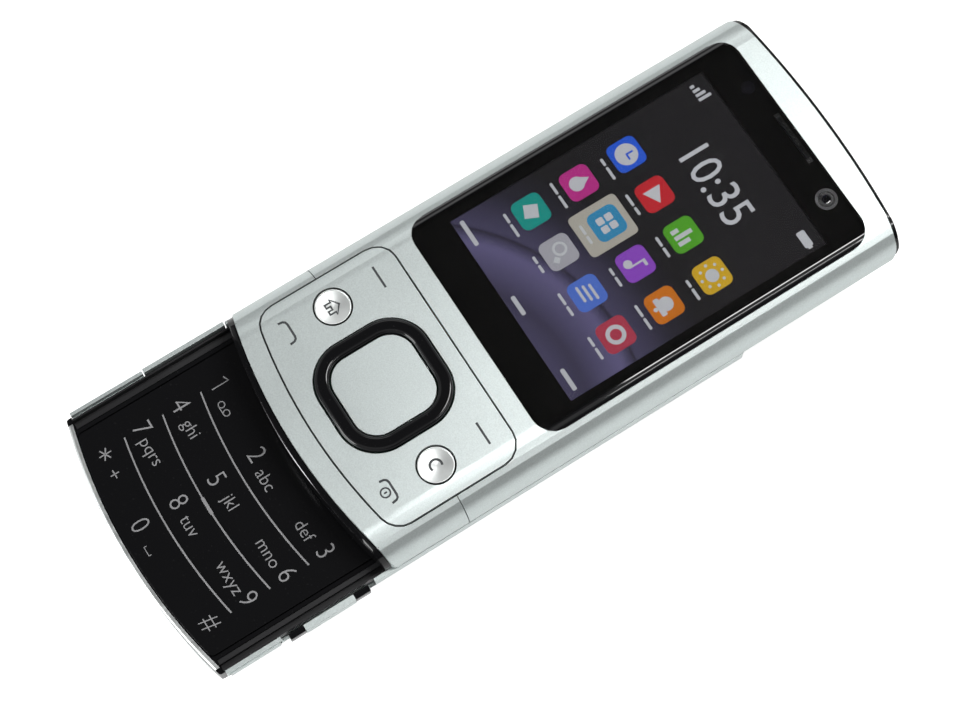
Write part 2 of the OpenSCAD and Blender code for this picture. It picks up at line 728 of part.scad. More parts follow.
module function_domes() color(gold) on_slider()
    for (p = concat(corner_keys, nav_domes, round_keys, [[0, keys_y]]))
        dome(p[0], p[1], function_board_z + function_board_t, dome_r, dome_h);

// One thin sheet with the soft keys at its upper corners and the call and end keys at its lower ones
module function_plate() color(silver) on_slider() difference() {
    intersection() {
        prism(plate_outline(0), slider_z, phone_t);
        tunnel(0, slider_z, phone_t);
    }
    tunnel(plate_t, 0, phone_t - plate_t);
    prism(nav_outline(key_gap), 0, big);
    for (p = round_keys) disc(p[0], p[1], round_key_r + key_gap, 0, big);
}

module function_keymat() color([0.75, 0.75, 0.75]) on_slider() for (p = corner_keys)
    disc(p[0], p[1], key_foot_r, key_foot_z + seat, plate_z);

// Rocks up and down on the board, and carries the ring, which rocks left and right on it
module nav_pad() color([0.3, 0.3, 0.3]) on_slider() difference() {
    prism(nav_outline(-nav_pad_inset), nav_pad_z, nav_pad_z + nav_pad_t);
    prism(nav_outline(nav_pad_lap - nav_band), 0, big);
}

// Section of the ring's band, from its inner to its outer edge
nav_section = concat(
    [[nav_inner_r, nav_ring_z], [nav_corner_r, nav_ring_z]],
    arc([nav_corner_r - nav_edge_r, nav_edge_z], nav_edge_r, 0, 90, edge_steps),
    arc([nav_inner_r + nav_edge_r, nav_edge_z], nav_edge_r, 90, 180, edge_steps));

module nav_ring() color(black) on_slider() translate([0, keys_y, 0]) {
    straight_x = nav_w / 2 - nav_corner_r;
    straight_y = nav_l / 2 - nav_corner_r;
    for (i = [0 : 3]) {
        along = i % 2 == 0 ? straight_y : straight_x;
        across = i % 2 == 0 ? straight_x : straight_y;
        rotate(90 * i) translate([across, along, 0]) {
            rotate_extrude(angle = 90) polygon(nav_section);
            rotate([90, 0, 0]) linear_extrude(2 * along) polygon(nav_section);
        }
    }
}

module centre_key() color(silver) on_slider() {
    prism(nav_outline(-nav_band - key_gap), centre_key_z, key_top_z);
    disc(0, keys_y, dome_r, key_foot_z + seat, centre_key_z + eps);
}

// A dished round key with a flange that the function plate holds down
module round_key(x) on_slider() translate([x, keys_y, 0]) {
    dish_r = (round_key_r * round_key_r + round_key_dish * round_key_dish) / (2 * round_key_dish);
    difference() {
        disc(0, 0, round_key_r, key_flange_z, key_top_z);
        translate([0, 0, dish_floor_z + dish_r]) sphere(r = dish_r, $fn = 96);
    }
    disc(0, 0, round_key_r + round_key_flange, key_flange_z, key_flange_z + key_flange_t);
}

module home_key() color(silver) round_key(-round_key_x);
module clear_key() color(silver) round_key(round_key_x);

// ---------- lower half ----------

// Cuts for the keys and ports in the lower half's sides
module side_cuts() {
    side_cut(1, rocker_y, recess_l / 2, rocker_band[0] - key_gap, big);
    side_cut(1, camera_key_y, camera_key_l / 2 + key_gap,
        camera_key_band[0] - key_gap, camera_key_band[1] + key_gap);
    side_cut(-1, port_y, port_cover_l / 2 + key_gap, port_cover_z - key_gap, big);
    translate([jack_x, half_l + 2, jack_z]) rotate([90, 0, 0]) cylinder(r = jack_hole_r, h = jack_l);
}
module side_cut(side, y, half, z_lo, z_hi) mirror([side < 0 ? 1 : 0, 0, 0])
    box(half_w - side_cut_t, half_w + 2, y - half, y + half, z_lo, z_hi);

module side_frame() color(silver) difference() {
    body(0, parting_z + parting_gap, rim_z, 0, 0);
    core(base_wall, 0, cover_cut_z);
    prism(plan(rim_w, base_wall, 0), cover_cut_z - eps, big);
    stretch(-big / 2, side_end_y);
    side_cuts();
}

// The black deck: it holds the number keys, carries the rails and closes the lower end
module keypad_frame() color(black) difference() {
    union() {
        intersection() {
            body(0, parting_z + parting_gap, deck_z, 0, 0);
            prism(plan(end_inset, -seat, -seat), 0, big);
            stretch(-big / 2, side_end_y - seat);
        }
        intersection() {
            core(base_wall + 3 * seat, frame_floor_z, deck_z);
            stretch(side_end_y - frame_lap, big / 2);
        }
    }
    prism(sheet_outline(key_gap), ledge_z, big);
    prism(sheet_outline(-1), board_z, big);
    core(frame_end_wall, 0, frame_floor_z);
    both_sides() box(rail_in - 2 * seat, half_w - base_wall, rail_end_y, big, frame_flange_z, big);
    box(-half_w, half_w, rail_web_y - 1, big, frame_flange_z, big);
    box(-rail_in, rail_in, rail_web_y - 1, big, board_z, big);
    usb_notch(0);
    difference() {
        prism(plan(-1, 0, -1), deck_z - trim_h, big);
        prism(plan(-2, -1, trim_t + seat), 0, big);
        both_sides() box(trim_half + seat, big, -big, big, 0, big);
    }
}

module bottom_trim() color([0.8, 0.8, 0.82]) difference() {
    end_bar(-1, trim_t, deck_z - trim_h + seat, deck_z + trim_proud, trim_edge_r);
    both_sides() box(trim_half, big, -big, big, 0, big);
}

// Two channels joined by a plate above the keypad; each channel's lip holds the slide's hook
module slide_rail_plate() color([0.2, 0.2, 0.21]) difference() {
    union() {
        both_sides() {
            box(rail_in, rail_out, rail_end_y + seat, rail_top_y, rail_z, rail_z + rail_t);
            box(rail_out - rail_t, rail_out, rail_end_y + seat, rail_top_y, rail_z, deck_z);
            box(rail_in, rail_in + rail_t, rail_end_y + seat, rail_top_y, rail_z, deck_z);
            box(rail_in, rail_in + rail_lip_w, rail_end_y + seat, rail_top_y, deck_z - rail_t, deck_z);
        }
        box(-rail_in - eps, rail_in + eps, rail_web_y, rail_plate_top,
            rail_plate_z, rail_plate_z + rail_plate_t);
        both_sides() box(rail_in - 1, rail_out, rail_top_y - eps, rail_plate_top,
            rail_plate_z, rail_plate_z + rail_plate_t);
    }
    cable_slot(cable_low_y, plate_slot_half);
    disc(spring_at[0], spring_at[1], spring_foot_r + 3 * seat, 0, big);
}

// Wire spring that throws the slide open and shut, drawn as it lies when open
module slide_spring() color(steel) translate([spring_at[0], spring_at[1], spring_z]) {
    translate([0, spring_r, 0]) rotate_extrude() translate([spring_r, 0]) circle(r = spring_wire_r);
    translate([spring_r, spring_r, 0]) rotate([-90, 0, 0]) cylinder(r = spring_wire_r, h = spring_leg);
    disc(0, 0, spring_foot_r, -rail_plate_t - spring_wire_r / 2, spring_wire_r / 2);
}

// Ribbon from the main board to the upper half; it rolls up and down as the slide moves
module flex_cable() color([0.75, 0.45, 0.15]) {
    t = cable_t;
    z0 = board_top + 2 * seat;                     // where it leaves the board
    z1 = spring_z - spring_wire_r;                 // its lower run, on the rail plate
    z2 = slide_plate_z - t - 3 * seat;             // its upper run, under the slide plate
    z3 = slider_pocket_z + slider_floor / 2;       // its end in the upper half
    zm = (z1 + z2 + t) / 2;
    y0 = cable_low_y;
    y1 = cable_slot_y + slide_travel;
    y2 = cable_end_y;
    translate([cable_x - cable_w / 2, 0, 0]) rotate([90, 0, 90]) linear_extrude(cable_w) polygon([
        [y0, z0], [y0 + t, z0], [y0 + t, z1], [y2, z1], [y2 + 2 * t, zm], [y2, z2 + t],
        [y1 + t, z2 + t], [y1 + t, z3], [y1, z3], [y1, z2],
        [y2 - t, z2], [y2, zm], [y2 - t, z1 + t], [y0, z1 + t]]);
}

module ridge(i, half, w) intersection() {
    translate([0, row_y(i) + ridge_arc_r, deck_z - ridge_root]) difference() {
        cylinder(r = ridge_arc_r + w / 2, h = ridge_root + ridge_h, $fn = ridge_fn);
        translate([0, 0, -1]) cylinder(r = ridge_arc_r - w / 2, h = 2, $fn = ridge_fn);
    }
    box(-half, half, -half_l, 0, deck_z - 1, deck_z + 1);
}

// One flexible sheet that carries all twelve number keys, with a ridge between the rows
module number_keypad() color(black) {
    prism(sheet_outline(0), sheet_z, deck_z);
    for (i = [0 : 2]) ridge(i, ridge_half, ridge_w);
    ridge(1, homing_half, 2 * ridge_w);
}

module number_keymat() color([0.7, 0.7, 0.7]) {
    prism(sheet_outline(-keymat_inset), keymat_z, sheet_z);
    for (p = key_places) disc(p[0], p[1], plunger_r, plunger_z, keymat_z + eps);
}

module number_domes() color(gold) for (p = key_places)
    dome(p[0], p[1], board_top, number_dome_r, number_dome_h);

module main_board() color(green) difference() {
    core(board_inset, board_z, board_top);
    usb_notch(0);
    jack_notch();
}

// Room for the data connector and for the charger jack in the pieces round them
module usb_notch(grow) box(-half_w, usb_x + usb_size[1] + 2 * seat + grow,
    port_y - usb_size[0] / 2 - part_gap, port_y + usb_size[0] / 2 + part_gap,
    usb_z - 2 * seat, usb_z + usb_size[2] + 2 * seat);
module jack_notch() box(jack_x - jack_hole_r - part_gap, jack_x + jack_hole_r + part_gap,
    jack_end_y - jack_l - part_gap, big, 0, big);

module shield_can() color([0.7, 0.7, 0.72]) difference() {
    box(can_x[0], can_x[1], can_y[0], can_y[1], board_top, rail_plate_z - 2 * seat);
    box(can_x[0] + can_wall, can_x[1] - can_wall, can_y[0] + can_wall, can_y[1] - can_wall,
        0, rail_plate_z - 2 * seat - can_wall);
}

// The battery's place, wider by grow
module bay(grow, z_lo, z_hi) box(-battery_w / 2 - grow, battery_w / 2 + grow,
    battery_y - grow, battery_top + grow, z_lo, z_hi);

// Tray between the board and the battery: its walls hold the battery, its upper block the card holders
module chassis() color([0.12, 0.12, 0.13]) difference() {
    intersection() {
        core(board_inset, 0, chassis_z + chassis_t);
        union() {
            slab(chassis_z, chassis_z + chassis_t);
            bay(bay_gap + bay_wall, bay_wall_z, chassis_z + eps);
            box(block_x[0], block_x[1], battery_top + bay_wall, cover_top_y - part_gap,
                block_z, chassis_z + eps);
        }
    }
    bay(bay_gap, 0, chassis_z);
    box(-contact_cut, contact_cut, battery_top, battery_top + bay_wall + bay_gap,
        battery_z + bay_wall, chassis_z);
    usb_notch(usb_clear);
    translate([0, camera_y, 0])
        prism(pad(camera_w + 2 * part_gap, camera_w + 2 * part_gap, small_corner_r), 0, big);
    jack_notch();
    for (p = frame_screw_places) disc(p[0], p[1], screw_r + seat, 0, big);
}

module battery() color([0.25, 0.27, 0.30]) translate([0, battery_y + battery_l / 2, 0])
    prism(pad(battery_w, battery_l, 1), battery_z, battery_z + battery_t);

module battery_contacts() color(gold) for (i = [-1 : 1])
    translate([i * contact_pitch, 0, 0]) box(-contact_w / 2, contact_w / 2,
        battery_top + 2 * seat, battery_top + bay_wall, battery_z + 1, chassis_z - seat);

module battery_cover() color(silver) difference() {
    body(0, 0, parting_z, 0, 0);
    body(back_wall, back_wall, big, back_wall, back_wall);
    stretch(cover_top_y, big / 2);
}

module camera_panel() color(black) difference() {
    body(0, 0, parting_z, 0, 0);
    body(back_wall, back_wall, big, back_wall, back_wall);
    stretch(-big / 2, cover_top_y + panel_gap);
    disc(0, camera_y, lens_ring_r + seat, -1, big);
    translate([flash_x, camera_y, -1])
        prism(pad(flash_box[0] + part_gap, flash_box[1] + part_gap, flash_corner_r + part_gap / 2),
            0, parting_z);
    for (i = [-2 : 2]) translate([speaker_x, camera_y + i * slot_pitch, -1])
        prism(pad(mesh_box[0] - 2 * slot_bar, slot_w, slot_corner_r), 0, parting_z);
}

module rear_camera() color([0.1, 0.1, 0.11]) translate([0, camera_y, 0]) {
    prism(pad(camera_w, camera_w, flash_corner_r), camera_z, board_z - 2 * seat);
    difference() {
        disc(0, 0, barrel_r, barrel_z, camera_z + eps);
        disc(0, 0, barrel_bore_r, 0, barrel_floor_z);
    }
}

module lens_ring() color([0.75, 0.76, 0.78]) translate([0, camera_y, 0]) difference() {
    disc(0, 0, lens_ring_r, ring_z, back_wall + ring_stand);
    disc(0, 0, lens_glass_r, 0, ring_z + lens_glass_t);
    disc(0, 0, lens_hole_r, 0, big);
}

module flash() color([0.95, 0.93, 0.8]) translate([flash_x, camera_y, 0])
    prism(pad(flash_box[0], flash_box[1], flash_corner_r), flash_z, flash_z + flash_t);

module loudspeaker() color([0.2, 0.2, 0.2]) translate([speaker_x, camera_y, 0])
    prism(pad(speaker_box[0], speaker_box[1], 1), mesh_z + mesh_t + seat, chassis_z - 2 * seat);

module speaker_mesh() color([0.3, 0.3, 0.3]) translate([speaker_x, camera_y, 0])
    prism(pad(mesh_box[0], mesh_box[1], flash_corner_r), mesh_z, mesh_z + mesh_t);

module vibration_motor() color(steel)
    translate([motor_at[0], motor_at[1], chassis_z - motor_r - 2 * seat])
        rotate([0, 90, 0]) cylinder(r = motor_r, h = motor_l);

// Holders for the two cards, open to the right and to the top
module sim_holder() color([0.7, 0.7, 0.72]) difference() {
    w = holder_wall;
    box(-holder_half, holder_split - part_gap, holder_low, cover_top_y - holder_end, holder_z, block_z);
    box(w - holder_half, big, holder_low + w, cover_top_y - part_gap - holder_end - w,
        card_z, card_z + card_t);
}

module card_slot() color([0.7, 0.7, 0.72]) difference() {
    w = holder_wall;
    box(holder_split + part_gap, slot_right, holder_low, cover_top_y - holder_end, holder_z, block_z);
    box(holder_split + part_gap + w, slot_right - w, holder_low + w, cover_top_y,
        card_z, card_z + card_t);
}

// Data connector, sunk into a notch of the main board
module usb_connector() color([0.75, 0.75, 0.77]) translate([usb_x, port_y, usb_z]) difference() {
    w = usb_wall;
    half = usb_size[0] / 2;
    box(0, usb_size[1], -half, half, 0, usb_size[2]);
    box(-big, usb_size[1] - 2 * w, w - half, half - w, w, usb_size[2] - w);
}

module port_cover() color(silver) intersection() {
    difference() {
        body(-port_cover_proud, port_cover_z, rim_z, 0, 0);
        tunnel(rim_w - seat, 0, big);
    }
    box(-big, 0, port_y - port_cover_l / 2, port_y + port_cover_l / 2, 0, big);
}

module charger_jack() color([0.15, 0.15, 0.16])
    translate([jack_x, jack_end_y, jack_z]) rotate([90, 0, 0]) difference() {
        cylinder(r = jack_hole_r - seat, h = jack_l);
        translate([0, 0, -eps]) cylinder(r = jack_r, h = jack_l - jack_floor);
    }

module antenna() color(gold) translate([0, half_l - 9.9, 0])
    box(antenna_x - antenna_box[0], antenna_x, 0, antenna_box[1], board_top + seat, rail_plate_z - part_gap);

module microphone() color([0.75, 0.75, 0.77])
    box(-mic_w / 2, mic_w / 2, mic_y, mic_y + mic_l, chassis_z - mic_h, chassis_z - seat);

module side_key(y, length, band, proud, depth) intersection() {
    body(-proud, band[0], band[1], 0, 0);
    box(half_w - depth, half_w + 2, y - length / 2, y + length / 2, 0, big);
}

module volume_rocker() color(silver)
    side_key(rocker_y, rocker_l - 2 * rocker_end_l - 2 * seat, rocker_band, rocker_proud, key_depth);

module rocker_ends() color(black) for (s = [-1, 1])
    side_key(rocker_y + s * (rocker_l - rocker_end_l) / 2, rocker_end_l, rocker_band,
        rocker_proud - rocker_end_drop, key_depth);

module camera_key() color(silver)
    side_key(camera_key_y, camera_key_l, camera_key_band, camera_key_proud, key_depth);

module frame_screws() color(steel) for (p = frame_screw_places) {
    disc(p[0], p[1], screw_head_r, chassis_z - chassis_t, chassis_z);
    disc(p[0], p[1], screw_r, chassis_z - eps, board_z - seat);
}

front_cover();
chin_cover();
top_end_cap();
slider_lip();
display_window();
display_gasket();
display_module();
slider_frame();
slide_plate();
slide_plate_screws();
earpiece_mesh();
earpiece();
front_camera();
light_sensor();
function_board();
function_domes();
function_plate();
function_keymat();
nav_pad();
nav_ring();
centre_key();
home_key();
clear_key();
side_frame();
keypad_frame();
bottom_trim();
slide_rail_plate();
slide_spring();
flex_cable();
number_keypad();
number_keymat();
number_domes();
main_board();
shield_can();
chassis();
battery();
battery_contacts();
battery_cover();
camera_panel();
rear_camera();
lens_ring();
flash();
loudspeaker();
speaker_mesh();
vibration_motor();
sim_holder();
card_slot();
usb_connector();
port_cover();
charger_jack();
antenna();
microphone();
volume_rocker();
rocker_ends();
camera_key();
frame_screws();
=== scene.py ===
"""Slider phone, lying open on its back.

Satin metal shells, a glass window over a lit screen, and a gloss black keypad.
"""

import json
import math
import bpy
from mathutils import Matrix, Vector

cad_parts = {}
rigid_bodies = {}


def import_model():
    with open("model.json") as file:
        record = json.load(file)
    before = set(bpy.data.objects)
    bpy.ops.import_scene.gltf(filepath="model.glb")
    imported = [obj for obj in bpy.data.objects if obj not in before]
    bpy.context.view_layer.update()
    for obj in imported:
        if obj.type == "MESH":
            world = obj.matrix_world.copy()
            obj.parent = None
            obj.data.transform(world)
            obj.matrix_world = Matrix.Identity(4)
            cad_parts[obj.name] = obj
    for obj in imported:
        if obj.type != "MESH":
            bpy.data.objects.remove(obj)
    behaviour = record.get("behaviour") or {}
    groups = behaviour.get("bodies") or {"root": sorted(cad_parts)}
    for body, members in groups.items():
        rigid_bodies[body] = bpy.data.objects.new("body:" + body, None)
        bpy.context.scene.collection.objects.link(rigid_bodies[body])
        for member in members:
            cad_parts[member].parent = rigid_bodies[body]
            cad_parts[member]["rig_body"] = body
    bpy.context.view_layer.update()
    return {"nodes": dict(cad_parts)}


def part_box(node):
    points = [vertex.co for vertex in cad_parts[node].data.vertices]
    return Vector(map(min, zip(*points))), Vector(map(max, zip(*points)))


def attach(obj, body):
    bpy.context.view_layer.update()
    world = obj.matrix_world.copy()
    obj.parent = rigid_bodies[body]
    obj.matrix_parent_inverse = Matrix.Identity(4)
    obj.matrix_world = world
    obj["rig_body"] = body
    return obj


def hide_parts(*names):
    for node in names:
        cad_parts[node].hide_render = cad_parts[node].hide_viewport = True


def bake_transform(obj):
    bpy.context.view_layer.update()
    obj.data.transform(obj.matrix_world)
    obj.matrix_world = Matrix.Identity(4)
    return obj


bl_info = {
    "name": "Slider Phone",
    "version": (1, 0, 0),
    "blender": (4, 5, 0),
    "location": "3D View > Sidebar > Slider Phone",
    "description": "Dresses the slider phone's frame in its finishes, prints, screen and studio",
    "category": "Add Mesh",
}

import bmesh
import bpy
from bpy.props import FloatProperty, FloatVectorProperty, PointerProperty
from mathutils import Matrix, Vector

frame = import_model()
MM = 0.001

# Heights and places that the prints and the screen share, from the CAD's own boxes
FRONT_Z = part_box("front_cover")[1].z
DECK_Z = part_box("number_keymat")[1].z + 0.9 * MM  # top of the number sheet, between its ridges
SCREEN_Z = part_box("display_module")[1].z - 0.15 * MM
WINDOW_LOW, WINDOW_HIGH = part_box("display_window")
WINDOW_MID = (WINDOW_LOW + WINDOW_HIGH) / 2
RING_LOW, RING_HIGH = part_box("nav_ring")

# The CAD's rounded rectangles: middle, size and corner radius
WINDOW_OUTLINE = (WINDOW_MID, WINDOW_HIGH - WINDOW_LOW, 3.5 * MM)
RING_OUTLINE = ((RING_LOW + RING_HIGH) / 2, RING_HIGH - RING_LOW, 6.5 * MM)
RING_BAND = 2.45 * MM
RING_TRIM = 0.22 * MM  # taken off the ring all round, and its hole with it, to follow the photograph

SHARP = math.radians(28)  # an edge that turns by more than this stays an edge
BUMP_DEPTH = 0.02 * MM
LAYER = 0.01 * MM  # between parts of the picture that lie on each other

# Upright walls nearer to the middle line than this are sides of a gap, and end walls up to the second; these
# walls get painted shade
GAP_REACH, GAP_END_REACH = 19.8 * MM, 22.8 * MM

# The lip's arc, and the bead along it with its half angle about the arc's centre
LIP_SAG, BEAD_RADIUS, BEAD_REACH = 4.26 * MM, 0.28 * MM, math.radians(19)

# The round keys: a flange below, a rounded rim, and a dish with its depth and its floor below the key's top
FLANGE_WIDTH, FLANGE_HEIGHT, KEY_RIM = 0.4 * MM, 0.35 * MM, 0.12 * MM
DISH_DEPTH, DISH_FLOOR = 0.3 * MM, 0.35 * MM


# ---------- sizes and colours that a user would change ----------

def colour_property(name, description, default):
    return FloatVectorProperty(name=name, description=description, subtype='COLOR', size=3, min=0, max=1,
                               default=default)


def number_property(name, description, default, **kind):
    return FloatProperty(name=name, description=description, min=0, default=default, **kind)


def length_property(name, description, default):
    return number_property(name, description, default, subtype='DISTANCE', unit='LENGTH')


def power_property(name, description, default):
    return number_property(name, description, default, subtype='POWER', unit='POWER')


class PhoneFinish(bpy.types.PropertyGroup):
    """Colours of the phone's outer pieces"""
    silver: colour_property("Silver", "Satin metal of the shells and the function plate", (0.64, 0.70, 0.69))
    bright: colour_property("Bright metal", "Turned keys, trim and lens ring", (0.74, 0.765, 0.755))
    gloss: colour_property("Gloss black", "End caps, navigation ring and keypad frame", (0.0045, 0.0045, 0.005))
    deck: colour_property("Number sheet", "The sheet that carries the number keys", (0.004, 0.004, 0.0045))
    ridge: colour_property("Ridges", "The light ridges between the rows of number keys", (0.22, 0.22, 0.225))
    edge_width: length_property("Edge rounding", "Width of the small rounding on metal edges", 0.07 * MM)


class PhonePrint(bpy.types.PropertyGroup):
    """Sizes and colours of the printed legends"""
    digit_height: length_property("Digit height", "Height of the digits on the number sheet", 2.9 * MM)
    letter_height: length_property("Letter height", "Height of a small x on the number sheet", 1.22 * MM)
    mark_width: length_property("Mark width", "Width of the printed lines on the function keys", 0.36 * MM)
    on_black: colour_property("Light print", "Digits and letters on black", (0.20, 0.20, 0.205))
    on_silver: colour_property("Dark print", "Marks on silver", (0.028, 0.031, 0.034))


class PhoneScreen(bpy.types.PropertyGroup):
    """The lit picture"""
    width: length_property("Picture width", "Width of the lit picture", 33.3 * MM)
    height: length_property("Picture height", "Height of the lit picture", 45.8 * MM)
    tile: length_property("Tile size", "Side of an icon's tile", 5.0 * MM)
    glow: number_property("Glow", "Strength of the picture's light", 0.62, max=4)
    dark: colour_property("Screen dark", "Darkest part of the picture", (0.020, 0.019, 0.021))
    violet: colour_property("Screen violet", "Lighter bands of the picture", (0.17, 0.15, 0.33))


class PhoneStudio(bpy.types.PropertyGroup):
    """Floor and light"""
    floor: colour_property("Floor", "Colour of the floor", (0.56, 0.56, 0.56))
    sky: number_property("Sky light", "Strength of the light from all round", 0.72)
    main: power_property("Main lamp", "Power of the main soft lamp", 0.9)
    fill: power_property("Fill lamp", "Power of the fill lamp", 9.0)
    strip: power_property("Strip lamps", "Power of the narrow lamps at the right", 2.2)


# ---------- shader nodes ----------

def connect(tree, value, socket):
    """Links a socket to another, or sets it to a plain value"""
    if hasattr(value, 'is_output'):
        tree.links.new(value, socket)
    else:
        socket.default_value = value


def feed(tree, node, **values):
    """Links or sets a node's inputs; an underscore stands for the space in a label"""
    for label, value in values.items():
        connect(tree, value, node.inputs[label.replace("_", " ")])
    return node.outputs


def add_node(tree, kind, **values):
    return feed(tree, tree.nodes.new('ShaderNode' + kind), **values)


def object_place(tree):
    return add_node(tree, 'TexCoord')['Object']


def object_axes(tree):
    """The sockets X, Y and Z of the place in the object"""
    return add_node(tree, 'SeparateXYZ', Vector=object_place(tree))


def noise(tree, scale, detail, stretch=None):
    """Noise over the object, with scale waves to the metre; stretch squeezes it along one axis"""
    place = object_place(tree)
    if stretch:
        place = add_node(tree, 'Mapping', Vector=place, Scale=stretch)['Vector']
    return add_node(tree, 'TexNoise', Vector=place, Scale=scale, Detail=detail)['Fac']


def calc(tree, operation, *values, kind='Math'):
    node = tree.nodes.new('ShaderNode' + kind)
    node.operation = operation
    for value, socket in zip(values, node.inputs):
        connect(tree, value, socket)
    is_vector = kind == 'VectorMath' and operation not in ('LENGTH', 'DOT_PRODUCT')
    return node.outputs['Vector' if is_vector else 'Value']


def vector_calc(tree, operation, *values):
    return calc(tree, operation, *values, kind='VectorMath')


def spread(tree, value, middle, amount):
    """middle + amount * (value - 0.5)"""
    return calc(tree, 'MULTIPLY_ADD', calc(tree, 'SUBTRACT', value, 0.5), amount, middle)


def dim(tree, colour, factor):
    shade = vector_calc(tree, 'SCALE', colour)
    connect(tree, factor, shade.node.inputs['Scale'])
    return shade


def blend_colours(tree, mask, low, high):
    node = tree.nodes.new('ShaderNodeMix')
    node.data_type = 'RGBA'
    for value, socket in ((mask, 0), (low, 6), (high, 7)):  # the sockets of a colour mix
        connect(tree, value, node.inputs[socket])
    return node.outputs[2]


def colour_ramp(tree, value, stops):
    """A ramp through pairs of position and colour"""
    colour = add_node(tree, 'ValToRGB', Fac=value)['Color']
    elements = colour.node.color_ramp.elements
    while len(elements) < len(stops):
        elements.new(0.5)
    for element, (position, shade) in zip(elements, stops):
        element.position = position
        element.color = (*shade, 1)
    return colour


# ---------- shader groups that several materials share: they make a colour, a roughness, a height ----------

def blasted_grain(tree, given):
    """Bead-blasted metal: a fine sparkle over slow patches"""
    fine = noise(tree, given["Grain"], 1.0)
    slow = noise(tree, 55.0, 2.0)
    shade = spread(tree, slow, spread(tree, fine, 1.0, given["Sparkle"]), 0.03)
    roughness = spread(tree, slow, spread(tree, fine, given["Roughness"], 0.1), 0.05)
    return dim(tree, given["Tint"], shade), roughness, fine


def handled_gloss(tree, given):
    """Polished plastic: faint smears that dull it, and a little dust"""
    smear = calc(tree, 'MULTIPLY', noise(tree, 120.0, 3.0), noise(tree, 26.0, 1.0))
    speck = calc(tree, 'GREATER_THAN', noise(tree, 2600.0, 0.0), 0.79)
    dust = calc(tree, 'MULTIPLY', speck, given["Dust"])
    return (blend_colours(tree, dust, given["Tint"], (0.5, 0.5, 0.5, 1)),
            calc(tree, 'MULTIPLY_ADD', smear, given["Smear"], given["Roughness"]), noise(tree, 45.0, 1.0))


def drawn_metal(tree, given):
    """Rolled or brushed sheet: streaks along the phone"""
    streak = noise(tree, 900.0, 3.0, (1.0, 0.04, 1.0))
    return (dim(tree, given["Tint"], spread(tree, streak, 1.0, given["Streaks"])),
            spread(tree, streak, given["Roughness"], 0.25), streak)


def moulded_texture(tree, given):
    """Moulded plastic and rubber: a fine spark-eroded texture"""
    fine = noise(tree, given["Grain"], 3.0)
    slow = noise(tree, 130.0, 1.0)
    shade = spread(tree, slow, spread(tree, fine, 1.0, 0.3), 0.2)
    return dim(tree, given["Tint"], shade), spread(tree, slow, given["Roughness"], 0.15), fine


def lit_pixels(tree, given):
    """A lit picture: rows and columns of pixels, a little brighter towards the top"""
    axes = object_axes(tree)
    lines = [calc(tree, 'LESS_THAN',
                  calc(tree, 'FRACT', calc(tree, 'DIVIDE', axes[axis], given["Pitch"])), 0.2) for axis in 'XY']
    dark = calc(tree, 'MULTIPLY', calc(tree, 'MAXIMUM', *lines), given["Gap"])
    glow = calc(tree, 'MULTIPLY_ADD', axes['Y'], 2.2, calc(tree, 'SUBTRACT', 0.92, dark))
    return dim(tree, given["Tint"], glow), calc(tree, 'ADD', 0.5, dark), glow


GROUPS = {
    "blasted": ("Blasted grain", blasted_grain,
                {"Tint": (0.8, 0.8, 0.8, 1), "Grain": 5200.0, "Sparkle": 0.12, "Roughness": 0.4}),
    "gloss": ("Handled gloss", handled_gloss,
              {"Tint": (0.01, 0.01, 0.01, 1), "Roughness": 0.06, "Smear": 0.08, "Dust": 0.01}),
    "drawn": ("Drawn metal", drawn_metal, {"Tint": (0.6, 0.6, 0.6, 1), "Roughness": 0.3, "Streaks": 0.15}),
    "moulded": ("Moulded texture", moulded_texture,
                {"Tint": (0.05, 0.05, 0.05, 1), "Grain": 1800.0, "Roughness": 0.55}),
    "lit": ("Lit pixels", lit_pixels, {"Tint": (0.5, 0.5, 0.5, 1), "Pitch": 0.14 * MM, "Gap": 0.12}),
}


def shared_group(kind):
    """The group of this kind, made when it is first asked for"""
    name, recipe, inputs = GROUPS[kind]
    tree = bpy.data.node_groups.get(name)
    if not tree:
        tree = bpy.data.node_groups.new(name, 'ShaderNodeTree')
        for label, value in inputs.items():
            socket_type = 'NodeSocketColor' if label == "Tint" else 'NodeSocketFloat'
            tree.interface.new_socket(name=label, in_out='INPUT', socket_type=socket_type).default_value = value
        for label in ("Colour", "Roughness", "Height"):
            socket_type = 'NodeSocketColor' if label == "Colour" else 'NodeSocketFloat'
            tree.interface.new_socket(name=label, in_out='OUTPUT', socket_type=socket_type)
        results = recipe(tree, tree.nodes.new('NodeGroupInput').outputs)
        for result, socket in zip(results, tree.nodes.new('NodeGroupOutput').inputs):
            tree.links.new(result, socket)
    return tree


def new_material(name):
    material = bpy.data.materials.new(name)
    material.use_nodes = True
    return material, material.node_tree, material.node_tree.nodes["Principled BSDF"]


def add_group(tree, kind, tint):
    group = tree.nodes.new('ShaderNodeGroup')
    group.node_tree = shared_group(kind)
    group.inputs["Tint"].default_value = (*tint, 1)
    return group


def finish(name, kind, tint, bump=0.0, metallic=0.0, **values):
    """A material that takes its colour, roughness and bump from one of the shared groups.

    Each further value is for the group's input of that name, or else for the shader's.
    """
    material = bpy.data.materials.get(name)
    if material:
        return material
    material, tree, shader = new_material(name)
    group = add_group(tree, kind, tint)
    feed(tree, shader, Base_Color=group.outputs["Colour"], Roughness=group.outputs["Roughness"],
         Metallic=metallic)
    for label, value in values.items():
        feed(tree, group if label in group.inputs else shader, **{label: value})
    if bump:
        raised = add_node(tree, 'Bump', Strength=bump, Distance=BUMP_DEPTH, Height=group.outputs["Height"])
        feed(tree, shader, Normal=raised['Normal'])
    return material


def painted_gap_shade():
    """Painted shade: near-black for the walls of the gaps between metal pieces, standing in for the shade in
    them
    """
    return finish("Gap painted shade", "moulded", (0.006, 0.006, 0.006), Roughness=0.8)


